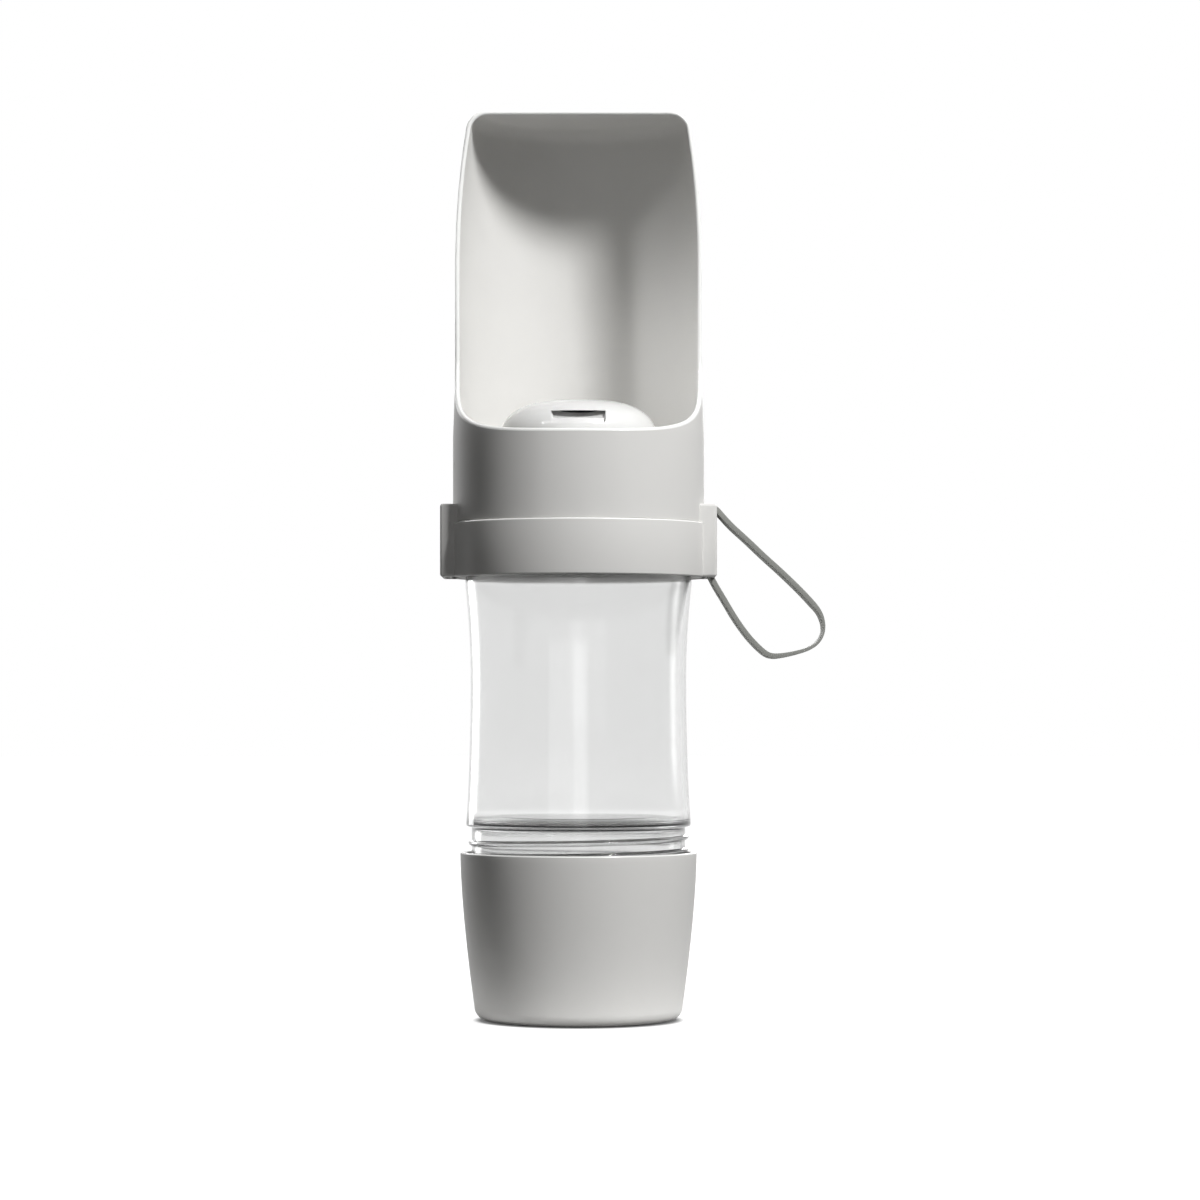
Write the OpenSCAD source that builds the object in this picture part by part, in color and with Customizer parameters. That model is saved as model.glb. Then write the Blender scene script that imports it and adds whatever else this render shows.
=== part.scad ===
// Travel water bottle for a dog: a clear bottle with a drinking trough on top,
// a food cup screwed on below and a carry strap. Millimetres, +Z up, the trough
// opens towards -Y, and the origin is the centre of the food cup's base.

/* [Food cup] */
// Height of the food cup
cup_h = 53.6; // [45:0.1:70]
// How far the cup's rim stands out from the bottle's lower end
cup_rim_out = 1.75; // [1:0.05:4]
// How much narrower the cup is at its foot than at its rim
cup_taper = 5.1; // [2:0.1:8]
// Rounding under the cup's foot
cup_foot_r = 4.5; // [2:0.1:6]
// Thickness of the cup's floor
cup_floor = 3; // [2:0.1:5]
// Thickness of the cup's wall at its foot
cup_wall = 2.2; // [1.6:0.1:3]
// Depth of the threaded part of the cup's mouth
cup_thread_depth = 14.4; // [12:0.1:18]

/* [Bottle] */
// How far the bottle's lower end stands inside its top end
bottle_foot_in = 0.2; // [0:0.05:1.5]
// How far the waist stands inside the bottle's top end
waist_in = 1.75; // [0.5:0.05:4]
// How far the shoulder stands out from the neck
shoulder_out = 5.5; // [4:0.05:6]
// Height of the bottle's body from its lower edge to its shoulder
bottle_body_h = 77.2; // [60:0.1:110]
// Height of the waist above the lower edge
waist_up = 46.2; // [30:0.1:50]
// Bare threaded band that shows between the cup's rim and the bottle
thread_gap = 8.2; // [2:0.1:12]
// Wall of the bottle
bottle_wall = 2; // [1.5:0.1:2.5]
// How far the thread spigot stands inside the bottle's lower end
spigot_in = 1.8; // [1.7:0.05:3]
// How far the neck stands inside the collar's surface
neck_in = 10.4; // [10.3:0.05:12]
// Height of the neck from the shoulder's top to its mouth
neck_h = 16; // [14:0.1:20]
// Height of the rounded shoulder
shoulder_h = 8; // [6:0.1:10]

/* [Threads] */
// Rise of a thread in one turn
thread_lead = 4; // [3.6:0.1:4.4]
// How far a ridge stands out
thread_depth = 1; // [0.6:0.05:1.1]
// Width of a ridge at its root
thread_root_w = 1.7; // [1.2:0.05:1.8]
// Width of a ridge at its crest
thread_crest_w = 0.8; // [0.5:0.05:1]
// Gap between a ridge's crest and the wall it faces
thread_clear = 0.5; // [0.3:0.05:0.6]

/* [Trough] */
// Overall height of the standing bottle
overall_h = 290; // [280:0.5:310]
// How far the scoop stands inside the tube's surface above the lip
scoop_inset = 0.6; // [0.1:0.05:1.5]
// How much the scoop draws in towards its top
scoop_draw_in = 3.4; // [1:0.1:6]
// Rounding across the scoop's top edge
top_round_w = 7.2; // [4:0.1:12]
// Rounding down the scoop's top edge
top_round_h = 6.7; // [4:0.1:12]
// Wall of the trough
trough_wall = 1.8; // [1.4:0.05:2]
// Wall of the scoop
scoop_wall = 1.5; // [1.2:0.05:1.8]
// Height of the lower tube up to the drinking lip
tube_h = 27.5; // [26:0.1:34]
// How far the side rims stand in front of the middle
rim_forward = 0.5; // [0.2:0.1:8]
// Height of the curved part of the rim
rim_curve_h = 26; // [16:0.5:40]
// Depth of the well between lip and floor
well_depth = 3.7; // [3:0.1:5]
// Thickness of the trough's floor
trough_floor_t = 2; // [1.5:0.1:2.5]

/* [Collar and lugs] */
// Outer radius of the collar ring
collar_r = 41; // [40.5:0.05:43]
// Height of the collar ring
collar_h = 17.3; // [14:0.1:19]
// How far the collar stands out from the trough's tube
collar_lap = 1; // [0.5:0.05:1.5]
// Distance from the collar's surface to the outer face of a lug
lug_out = 2.75; // [2.4:0.05:5]
// Height of a lug
lug_h = 23.1; // [21:0.1:26]
// Width of a lug
lug_w = 23.6; // [20:0.1:28]
// Wall outside the strap slot
lug_wall = 1; // [0.9:0.05:1.2]

/* [Strap] */
// Width of the strap
strap_w = 13; // [9:0.1:14]
// Thickness of the strap
strap_t = 1.4; // [1:0.05:1.5]
// How far the far corner of the loop reaches from the top exit
loop_reach = 41.2; // [35:0.1:50]
// How far the far corner hangs below the top exit
loop_drop = 39.4; // [34:0.1:42]
// Length of the loop's lower run
loop_low_run = 26.2; // [20:0.1:28]
// Bend radius of the far corner
loop_far_r = 7.6; // [5:0.1:9]
// Bend radius of the lower corner
loop_low_r = 4; // [3:0.1:5]

/* [Outlet dome] */
// Radius of the dome's foot
dome_r = 24.6; // [22:0.1:27]
// Height of the dome above the trough's floor
dome_h = 15; // [13:0.1:17]
// Radius of the dome's flat crown
dome_crown_r = 9; // [6:0.1:12]
// Wall of the dome
dome_wall = 1.8; // [1.4:0.1:2.2]
// Width of the outlet slot
slot_w = 17; // [10:0.1:20]
// Height of the outlet slot
slot_h = 3.4; // [2:0.1:4]

/* [Valve] */
// Travel of the button and of the valve
valve_travel = 3; // [2:0.1:3.2]
// Radius of the valve stem
stem_r = 2; // [1.6:0.05:2.2]
// Radius of the port that the stopper closes
port_r = 7; // [6:0.1:8]
// Radius of the button
button_r = 5.3; // [4.6:0.05:5.4]
// Radius of the push rod
rod_r = 2.5; // [2:0.05:2.8]
// Wire of the two return springs
spring_wire = 0.6; // [0.4:0.05:0.7]
// Number of curls in the stem's spring
stem_spring_curls = 5; // [4:1:6]
// Number of curls in the button's spring
button_spring_curls = 7; // [5:1:9]

/* [Hidden] */

$fn = 96;
overrun = 1;             // extra length of every cutting solid
running_gap = 0.06;      // radial clearance of a sliding fit
fit_gap = 0.15;          // clearance between pieces that are assembled and stay
soft_gap = 0.3;          // clearance round a soft ring
boss_gap = 0.1;          // clearance between a boss or tube and its seat

PLASTIC = "#d4d3cf";
CLEAR = [0.9, 0.93, 0.94, 0.35];
WHITE = "#f4f4f2";
SILICONE = "#e4e4e0";
METAL = "#b9bcc0";
STRAP = "#8b8c86";

// Heights of the food cup and the bottle
cup_ledge_z = cup_h - cup_thread_depth;
seal_t = 1.6;
spigot_z = cup_ledge_z + seal_t;
bottle_z = cup_h + thread_gap;
waist_z = bottle_z + waist_up;
shoulder_z = bottle_z + bottle_body_h;
neck_z = shoulder_z + shoulder_h;
mouth_z = neck_z + neck_h;

// Radii that follow the collar's
neck_r = collar_r - neck_in;
bottle_top_r = neck_r + shoulder_out;
bottle_waist_r = bottle_top_r - waist_in;
bottle_foot_r = bottle_top_r - bottle_foot_in;
spigot_r = bottle_foot_r - spigot_in;
cup_rim_r = bottle_foot_r + cup_rim_out;
trough_r = collar_r - collar_lap;
scoop_r = trough_r - scoop_inset;
lug_reach = collar_r + lug_out;

// Radii of the food cup's mouth, set by the spigot's thread
spigot_bore_r = spigot_r + thread_depth + thread_clear;
ledge_w = 2.2;
cup_ledge_r = spigot_bore_r - ledge_w;
cup_curve_power = 1.5;
cup_curve_h = cup_h * 0.97;
cup_arc_steps = 8;
cup_wall_steps = 14;

// Bottle details
bottle_floor_t = 2;
bottle_steps = 12;
lower_edge_r = 0.6;
edge_steps = 4;

// Heights of the head
plate_z = mouth_z + seal_t;
plate_t = 2.2;
plate_top_z = plate_z + plate_t;
collar_up = 1.9;          // the collar ring starts this far above the shoulder's foot
collar_z = shoulder_z + collar_up;
step_z = collar_z + collar_h;
lip_z = step_z + tube_h;
floor_top_z = lip_z - well_depth;
floor_low_z = floor_top_z - trough_floor_t;

// Trough details
collar_wall = collar_lap + trough_wall / 2;
collar_bore_r = collar_r - collar_wall;
tube_low_r = collar_bore_r - boss_gap;
tube_low_wall = 1.4;
floor_hole_r = 12;
tube_low_z = collar_z + soft_gap;
tube_taper_h = 16;
draw_in_up = 50.3;        // the scoop starts to draw in this far above the lip
draw_in_z = lip_z + draw_in_up;
draw_in_power = 2.3;
scoop_steps = 12;
round_steps = 8;
rim_steps = 16;
bead_r = 0.35;
bead_up = 4;

// Strap slot in each lug
slot_gap = 0.65;
slot_in_x = lug_reach - lug_wall - strap_t - slot_gap;
slot_out_x = lug_reach - lug_wall;
strap_slot_w = strap_w + 2 * slot_gap;
notch_up = 1;             // the lug's outer wall stands this far above the ring
notch_z = step_z + notch_up;
lug_edge = 0.8;
collar_edge = 0.4;
anchor_x = (slot_in_x + slot_out_x) / 2;
anchor_bend_r = 1.3;
anchor_bend_z = notch_z + anchor_bend_r;
anchor_low_z = collar_z - fit_gap;
exit_angle = -43.7;
knuckle_gap = 0.1;
strap_steps = 8;
exit_x = anchor_x + anchor_bend_r * (1 + cos(exit_angle + 90));
exit_z = anchor_bend_z + anchor_bend_r * sin(exit_angle + 90);
loop_far = [exit_x + loop_reach, exit_z - loop_drop];
loop_low_angle = 194.7;
loop_low = loop_far + loop_low_run * [cos(loop_low_angle), sin(loop_low_angle)];
loop_end_drop = 0.5;      // the loop's lower end starts this far under the lug
loop_end_z = collar_z - loop_end_drop;
loop_end_overrun = 3;
exit_point = [exit_x, exit_z];
loop_end = [anchor_x - boss_gap, loop_end_z];

// Valve chamber on the neck cap
port_wall = 1.6;
port_tube_h = 14.8;
seat_z = plate_top_z - port_tube_h;
seat_gap = 0.05;
hub_r = 3.6;
hub_t = 2;
hub_drop = valve_travel + hub_t / 2;
hub_z = plate_z - hub_drop;
spoke_w = 1.4;
spokes = 3;
chamber_r = 13.5;
chamber_wall = 2.5;
chamber_seal_t = 0.8;
chamber_top_z = floor_low_z - chamber_seal_t;
cap_skirt_wall = 1.8;
cap_bore_r = neck_r + thread_depth + thread_clear;
cap_skirt_r = cap_bore_r + cap_skirt_wall;
cap_skirt_up = 1;         // the cap's skirt ends this far above the shoulder
cap_skirt_z = neck_z + cap_skirt_up;
cap_flange_r = tube_low_r - tube_low_wall - soft_gap;

// Button axis, cam and gland
rod_z = (plate_top_z + floor_low_z) / 2;
cam_height = 1.6;
cam_plane = rod_z + cam_height;
cam_gap = 0.07;
follower_r = 3.6;
follower_rise = 1.2;      // how far the follower's tip clears the rod's middle
rod_clear = 0.5;
stopper_lip = 0.4;
follower_low_z = rod_z - rod_r - rod_clear;
follower_top_z = rod_z + valve_travel + follower_rise;
stem_top_z = rod_z - follower_rise;
stopper_r = port_r + port_wall + stopper_lip;
stopper_t = 3.4;
stopper_z = seat_z - seat_gap - stopper_t;
washer_t = 0.8;
washer_r = 5;
stem_head_r = 3.2;
stem_head_t = 1.2;
gland_y = chamber_r;
gland_bore_len = 3;
gland_len = 8.5;
gland_r = 5;
gland_well_r = 4;
gland_end_y = gland_y + gland_len;
saddle_w = 6;
ring_minor_r = 0.7;
gland_cap_len = 3.4;

// Button
button_dip = 0.4;         // how far the pressed button sinks under the tube's surface
button_face_y = trough_r + valve_travel - button_dip;
flange_w = 0.9;
button_flange_r = button_r + flange_w;
button_flange_t = 1.5;
bezel_wall = 1.1;
bezel_r = button_r + running_gap + bezel_wall;
bezel_flange_w = 1.2;
bezel_flange_r = bezel_r + bezel_flange_w;
bezel_sleeve = 1;         // how far the bezel reaches inside the tube
bezel_in_y = trough_r - trough_wall - bezel_sleeve;
bezel_face_y = trough_r + bezel_flange_w;
button_low_y = bezel_in_y - running_gap - button_flange_t;
button_dish_r = 12;
button_dish_depth = 0.8;
rod_socket = 4;
rod_end_y = button_low_y + rod_socket;
spring_seat_w = 0.45;     // from the gland's well to the button spring's middle
button_spring_r = gland_well_r + spring_seat_w;
stem_spring_room = 0.9;
stem_spring_r = stem_r + stem_spring_room;
spring_end_gap = 0.1;

// Screws that hold the neck cap to the trough
screw_r = 0.95;
screw_head_r = 1.6;
screw_head_t = 1.3;
screw_len = 9;
screw_angles = [30, 150, 270];
screw_circle_r = cap_skirt_r + screw_head_r + boss_gap;
boss_r = 2.2;
drive_w = 0.5;
drive_len = 2;
drive_depth = 0.5;

// Helical forms
thread_sides_a_turn = 36;
curl_rings = 8;
curl_sides = 6;
cup_thread_turns = 1.35;
cup_thread_below = 2.5;   // leads from the spigot's ridge down to the cup's, half a lead out of step
cap_thread_turns = 1.4;
cap_thread_below = 0.5;
spigot_thread_turns = 3.4;
neck_thread_turns = 2.2;
spigot_thread_end = 80;
spigot_thread_drop = 2.5;
spigot_thread_top = bottle_z - spigot_thread_drop;
neck_thread_drop = 3;
neck_thread_top = mouth_z - neck_thread_drop;

// Outline helpers
function arc_points(c, rx, ry, a0, a1, n) =
    [for (i = [0:n]) let (a = a0 + (a1 - a0) * i / n) [c[0] + rx * cos(a), c[1] + ry * sin(a)]];
function unit(v) = v / norm(v);
function cup_r(z) = cup_rim_r - cup_taper * pow(max(0, 1 - z / cup_curve_h), cup_curve_power);
function bottle_r(z) =
    z < waist_z
    ? bottle_waist_r + (bottle_foot_r - bottle_waist_r) * pow((waist_z - z) / (waist_z - bottle_z), 2)
    : bottle_waist_r + (bottle_top_r - bottle_waist_r) * pow((z - waist_z) / (shoulder_z - waist_z), 2);
function taper_share(z) = min(1, max(0, (z - lip_z) / tube_taper_h));
function scoop_end_z() = overall_h - top_round_h;
function scoop_outer_r(z) =
    trough_r - (trough_r - scoop_r) * taper_share(z)
    - (z > draw_in_z
       ? scoop_draw_in * pow((z - draw_in_z) / (scoop_end_z() - draw_in_z), draw_in_power)
       : 0);

// A rounded path: straight runs through corners of the given radii, as points with headings
function corner_points(a, b, c, r, n) =
    let (
        u = unit(b - a),
        v = unit(c - b),
        h0 = atan2(u[1], u[0]),
        cross_uv = u[0] * v[1] - u[1] * v[0],
        turn = (cross_uv < 0 ? -1 : 1) * acos(u * v),
        side = cross_uv < 0 ? -1 : 1,
        start = b - u * r * tan(abs(turn) / 2),
        centre = start + side * r * [-u[1], u[0]]
    )
    [for (i = [0:n]) let (h = h0 + turn * i / n)
        [centre[0] + side * r * sin(h), centre[1] - side * r * cos(h), h]];
function band_side(path, d) = [for (p = path) [p[0] - d * sin(p[2]), p[1] + d * cos(p[2])]];
function reversed(list) = [for (i = [len(list) - 1:-1:0]) list[i]];
function band_outline(path, t) = concat(band_side(path, t / 2), reversed(band_side(path, -t / 2)));

// Least distance between rings of a coil that are half a curl or more apart, less its wire
function coil_self_gap(pitch, wire) = pitch - wire;

// A closed tube of triangles through rings of points, each ring with the same number of points
module ring_tube(rings) {
    m = len(rings[0]);
    n = len(rings);
    polyhedron(
        points = [for (ring = rings) each ring],
        faces = concat(
            [[for (j = [m - 1:-1:0]) j]],
            [for (i = [0:n - 2], j = [0:m - 1]) let (a = i * m + j, b = i * m + (j + 1) % m)
                each [[a, b, a + m], [b, b + m, a + m]]],
            [[for (j = [0:m - 1]) (n - 1) * m + j]]
        ),
        convexity = 10
    );
}

// One helical ridge that ends at the given angle and height and runs down from there.
// It grows outwards from root_r when depth is positive and inwards when it is negative.
module thread_ridge(root_r, depth, end_angle, end_z, turns) {
    steps = round(turns * thread_sides_a_turn);
    sunk_r = root_r - sign(depth) * bottle_wall / 4;
    crest_r = root_r + depth;
    fade = 5;
    rings = [for (i = [0:steps]) let (
            a = end_angle - 360 * turns * (1 - i / steps),
            z = end_z - thread_lead * turns * (1 - i / steps),
            edge_share = min(1, (min(i, steps - i) + 1) / fade),
            top_r = sunk_r + (crest_r - sunk_r) * edge_share,
            corners = [
                [sunk_r, -thread_root_w / 2],
                [top_r, -thread_crest_w / 2],
                [top_r, thread_crest_w / 2],
                [sunk_r, thread_root_w / 2]
            ]
        )
        [for (c = depth > 0 ? corners : reversed(corners)) [c[0] * cos(a), c[0] * sin(a), z + c[1]]]];
    ring_tube(rings);
}

// A spring along +Z from the origin, with its last turns at the same pitch
module coil(mean_r, length, curls, wire) {
    rise = length - wire;
    steps = curls * curl_rings;
    echo("least gap between curls", coil_self_gap(rise / curls, wire));
    rings = [for (i = [0:steps]) let (
            a = 360 * i / curl_rings,
            z = wire / 2 + rise * i / steps,
            slope = atan2(rise / curls, 2 * PI * mean_r)
        )
        [for (j = [0:curl_sides - 1]) let (
                b = 360 * j / curl_sides,
                out = wire / 2 * cos(b),
                up = wire / 2 * sin(b)
            )
            [
                (mean_r + out) * cos(a) + up * sin(slope) * sin(a),
                (mean_r + out) * sin(a) - up * sin(slope) * cos(a),
                z + up * cos(slope)
            ]]];
    ring_tube(rings);
}

module ring(outer_r, inner_r, z0, z1) {
    translate([0, 0, z0])
        difference() {
            cylinder(r = outer_r, h = z1 - z0);
            translate([0, 0, -overrun]) cylinder(r = inner_r, h = z1 - z0 + 2 * overrun);
        }
}

// Places its children with their +Z along +Y at the button's axis
module along_button_axis(y) {
    translate([0, y, rod_z]) rotate([-90, 0, 0]) children();
}

module at_screws() {
    for (a = screw_angles) rotate([0, 0, a]) translate([screw_circle_r, 0, 0]) children();
}

module food_cup() {
    foot_r = cup_r(cup_foot_r);
    inner_round = cup_foot_r / 2;
    outer = concat(
        [[0, 0]],
        arc_points([foot_r - cup_foot_r, cup_foot_r], cup_foot_r, cup_foot_r, -90, 0, cup_arc_steps),
        [for (i = [1:cup_wall_steps]) let (z = cup_foot_r + (cup_h - cup_foot_r) * i / cup_wall_steps)
            [cup_r(z), z]]
    );
    inner = concat(
        [[spigot_bore_r, cup_h], [spigot_bore_r, cup_ledge_z], [cup_ledge_r, cup_ledge_z]],
        reversed(arc_points([foot_r - cup_wall - inner_round, cup_floor + inner_round],
                            inner_round, inner_round, -90, 0, cup_arc_steps)),
        [[0, cup_floor]]
    );
    color(PLASTIC) {
        rotate_extrude() polygon(concat(outer, inner));
        thread_ridge(spigot_bore_r, -thread_depth, spigot_thread_end,
                     spigot_thread_top - thread_lead * cup_thread_below, cup_thread_turns);
    }
}

module food_cup_seal() {
    color(SILICONE)
        ring(spigot_bore_r - soft_gap, cup_ledge_r + soft_gap / 2, cup_ledge_z, spigot_z);
}

module bottle_body() {
    spigot_in_r = spigot_r - bottle_wall;
    floor_z = bottle_z + bottle_floor_t;
    neck_in_r = neck_r - bottle_wall;
    body_steps = [for (i = [1:bottle_steps - 1]) bottle_z + bottle_body_h * i / bottle_steps];
    outer = concat(
        [[spigot_in_r, spigot_z], [spigot_r, spigot_z], [spigot_r, bottle_z]],
        arc_points([bottle_foot_r - lower_edge_r, bottle_z + lower_edge_r], lower_edge_r, lower_edge_r,
                   -90, 0, edge_steps),
        [for (z = body_steps) [bottle_r(z), z]],
        arc_points([neck_r, shoulder_z], bottle_top_r - neck_r, shoulder_h, 0, 90, bottle_steps),
        [[neck_r, mouth_z], [neck_in_r, mouth_z]]
    );
    inner = concat(
        reversed(arc_points([neck_in_r, shoulder_z], bottle_top_r - neck_r, shoulder_h - bottle_wall,
                            0, 90, bottle_steps)),
        [for (z = reversed(body_steps)) if (z > floor_z + bottle_wall) [bottle_r(z) - bottle_wall, z]],
        [[bottle_foot_r - 2 * bottle_wall, floor_z], [0, floor_z]]
    );
    under = [[0, bottle_z], [spigot_in_r, bottle_z]];
    color(CLEAR) {
        rotate_extrude() polygon(concat(outer, inner, under));
        thread_ridge(spigot_r, thread_depth, spigot_thread_end, spigot_thread_top, spigot_thread_turns);
        thread_ridge(neck_r, thread_depth, 0, neck_thread_top, neck_thread_turns);
    }
}

// The trough's wall as a turned solid, from its lower tube to its closed top
module trough_turning() {
    wall_zs = [for (i = [0:scoop_steps]) lip_z + (scoop_end_z() - lip_z) * i / scoop_steps];
    outer = concat(
        [[tube_low_r, tube_low_z], [tube_low_r, step_z], [trough_r, step_z]],
        [for (z = wall_zs) [scoop_outer_r(z), z]],
        arc_points([scoop_outer_r(scoop_end_z()) - top_round_w, scoop_end_z()], top_round_w,
                   top_round_h, 0, 90, round_steps),
        [[0, overall_h]]
    );
    inner = concat(
        [[0, overall_h - scoop_wall]],
        reversed(arc_points([scoop_outer_r(scoop_end_z()) - top_round_w, scoop_end_z()],
                            top_round_w - scoop_wall, top_round_h - scoop_wall, 0, 90, round_steps)),
        [for (z = reversed(wall_zs)) if (z > lip_z + tube_taper_h / 2)
            [scoop_outer_r(z) - scoop_wall, z]],
        [
            [trough_r - trough_wall, lip_z],
            [trough_r - trough_wall, step_z],
            [tube_low_r - tube_low_wall, step_z],
            [tube_low_r - tube_low_wall, tube_low_z]
        ]
    );
    rotate_extrude() polygon(concat(outer, inner));
}

// What the scoop's opening takes away, drawn from the side and extruded across
module opening_cut() {
    far = 2 * collar_r;
    curve_y = -collar_r - overrun;
    side = concat(
        [[-far, lip_z], [-far, overall_h + overrun], [-rim_forward, overall_h + overrun]],
        reversed(arc_points([curve_y, lip_z + rim_curve_h], -rim_forward - curve_y, rim_curve_h,
                            -90, 0, rim_steps))
    );
    rotate([90, 0, 90])
        translate([0, 0, -far])
            linear_extrude(height = 2 * far) polygon(side);
}

module trough_shell() {
    boss_low_z = plate_top_z + boss_gap;
    color(PLASTIC)
        difference() {
            union() {
                difference() {
                    trough_turning();
                    opening_cut();
                }
                ring(trough_r - trough_wall / 2, floor_hole_r, floor_low_z, floor_top_z);
                translate([0, 0, step_z + bead_up - collar_h + bead_r])
                    rotate_extrude()
                        translate([tube_low_r - bead_r / 4, 0]) circle(r = bead_r, $fn = 24);
                intersection() {
                    at_screws()
                        translate([0, 0, boss_low_z])
                            cylinder(r = boss_r, h = floor_top_z - boss_low_z);
                    cylinder(r = trough_r - trough_wall / 2, h = overall_h);
                }
            }
            at_screws()
                translate([0, 0, boss_low_z - overrun])
                    cylinder(r = screw_r + running_gap, h = screw_len + overrun);
            along_button_axis(trough_r - 3 * trough_wall)
                cylinder(r = bezel_r + running_gap, h = 6 * trough_wall);
        }
}

// A lug's plan, with chamfered outer corners
module lug_plan() {
    polygon([
        [collar_bore_r - trough_wall, -lug_w / 2],
        [lug_reach - lug_edge, -lug_w / 2],
        [lug_reach, -lug_w / 2 + lug_edge],
        [lug_reach, lug_w / 2 - lug_edge],
        [lug_reach - lug_edge, lug_w / 2],
        [collar_bore_r - trough_wall, lug_w / 2]
    ]);
}

module collar_ring() {
    color(PLASTIC)
        difference() {
            union() {
                rotate_extrude()
                    polygon([
                        [collar_bore_r - trough_wall, collar_z],
                        [collar_r - collar_edge, collar_z],
                        [collar_r, collar_z + collar_edge],
                        [collar_r, step_z - collar_edge],
                        [collar_r - collar_edge, step_z],
                        [collar_bore_r - trough_wall, step_z]
                    ]);
                for (side = [0, 180])
                    rotate([0, 0, side])
                        translate([0, 0, collar_z]) linear_extrude(height = lug_h) lug_plan();
            }
            translate([0, 0, collar_z - overrun])
                cylinder(r = collar_bore_r, h = collar_h + overrun);
            translate([0, 0, step_z - overrun / 2])
                cylinder(r = collar_bore_r, h = lug_h);
            translate([0, 0, step_z])
                cylinder(r = trough_r + fit_gap, h = lug_h);
            translate([0, 0, step_z + bead_up - collar_h + bead_r])
                rotate_extrude()
                    translate([collar_bore_r - bead_r / 4, 0]) circle(r = bead_r, $fn = 24);
            for (side = [0, 180])
                rotate([0, 0, side]) {
                    translate([slot_in_x, -strap_slot_w / 2, collar_z - overrun])
                        cube([slot_out_x - slot_in_x, strap_slot_w, lug_h + 2 * overrun]);
                    translate([slot_in_x, -strap_slot_w / 2, notch_z])
                        cube([lug_reach, strap_slot_w, lug_h]);
                }
        }
}

module outlet_dome() {
    foot_h = dome_h / 3;
    outer = concat(
        [[0, 0], [dome_r, 0], [dome_r, foot_h]],
        arc_points([dome_crown_r, foot_h], dome_r - dome_crown_r, dome_h - foot_h, 0, 90,
                   cup_wall_steps),
        [[0, dome_h]]
    );
    inner = concat(
        [[0, -overrun], [dome_r - dome_wall, -overrun], [dome_r - dome_wall, foot_h]],
        arc_points([dome_crown_r, foot_h], dome_r - dome_wall - dome_crown_r,
                   dome_h - dome_wall - foot_h, 0, 90, cup_wall_steps),
        [[0, dome_h - dome_wall]]
    );
    slot_z = dome_h - dome_wall - slot_h - dome_wall / 2;
    color(WHITE)
        translate([0, 0, floor_top_z])
            difference() {
                rotate_extrude() polygon(outer);
                rotate_extrude() polygon(inner);
                translate([-slot_w / 2, -dome_r - overrun, slot_z]) cube([slot_w, dome_r, slot_h]);
            }
}

module neck_cap() {
    color(WHITE)
        difference() {
            union() {
                ring(cap_skirt_r, cap_bore_r, cap_skirt_z, plate_z + plate_t / 2);
                ring(cap_flange_r, port_r, plate_z, plate_top_z);
                ring(port_r + port_wall, port_r, seat_z, plate_z + plate_t / 2);
                ring(chamber_r + chamber_wall, chamber_r, plate_z + plate_t / 2, chamber_top_z);
                ring(hub_r, stem_r + running_gap, hub_z, hub_z + hub_t);
                for (i = [0:spokes - 1])
                    rotate([0, 0, 360 * i / spokes])
                        translate([hub_r - hub_t / 4, -spoke_w / 2, hub_z])
                            cube([port_r + port_wall / 2 - hub_r + hub_t / 4, spoke_w, hub_t]);
                along_button_axis(gland_y + chamber_wall / 2)
                    cylinder(r = gland_r, h = gland_len - chamber_wall / 2);
                translate([-saddle_w / 2, gland_y + chamber_wall / 2, plate_z + plate_t / 2])
                    cube([saddle_w, gland_len - chamber_wall / 2, rod_z - plate_z - plate_t / 2]);
                thread_ridge(cap_bore_r, -thread_depth, 0, neck_thread_top - thread_lead * cap_thread_below,
                             cap_thread_turns);
            }
            along_button_axis(gland_y - chamber_wall)
                cylinder(r = rod_r + running_gap, h = gland_len * 2);
            along_button_axis(gland_y + gland_bore_len) cylinder(r = gland_well_r, h = gland_len);
            at_screws()
                translate([0, 0, plate_z - overrun])
                    cylinder(r = screw_r + running_gap, h = plate_t + 2 * overrun);
        }
}

module neck_gasket() {
    color(SILICONE) ring(neck_r - soft_gap / 2, neck_r - bottle_wall, mouth_z, plate_z);
}

module chamber_seal() {
    color(SILICONE)
        ring(chamber_r + chamber_wall - soft_gap, chamber_r + soft_gap, chamber_top_z, floor_low_z);
}

module valve_stem() {
    head_z = stopper_z - washer_t - stem_head_t;
    color(WHITE) {
        translate([0, 0, head_z]) cylinder(r = stem_head_r, h = stem_head_t);
        translate([0, 0, head_z]) cylinder(r = stem_r, h = stem_top_z - head_z);
    }
}

module stopper_washer() {
    color(WHITE) ring(washer_r, stem_r + running_gap, stopper_z - washer_t, stopper_z);
}

module valve_stopper() {
    lip = 0.6;
    color(SILICONE)
        rotate_extrude()
            polygon([
                [stem_r + running_gap, stopper_z],
                [stopper_r - lip, stopper_z],
                [stopper_r, stopper_z + lip],
                [stopper_r, stopper_z + stopper_t],
                [port_r - lip, stopper_z + stopper_t],
                [port_r - 3 * lip, stopper_z + stopper_t + lip],
                [stem_r + running_gap, stopper_z + stopper_t + lip]
            ]);
}

module cam_follower() {
    color(WHITE)
        difference() {
            translate([0, 0, follower_low_z])
                cylinder(r = follower_r, h = follower_top_z - follower_low_z);
            translate([0, 0, follower_low_z - overrun])
                cylinder(r = stem_r + running_gap, h = stem_top_z - follower_low_z + overrun);
            above_cam_plane(cam_plane - cam_gap);
        }
}

// Everything above the cam's slanting plane, which crosses the stem's axis at height z
module above_cam_plane(z) {
    side = 8 * rod_r;
    translate([0, 0, z])
        rotate([45, 0, 0])
            translate([-side, 0, -side]) cube([2 * side, side, 2 * side]);
}

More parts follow.
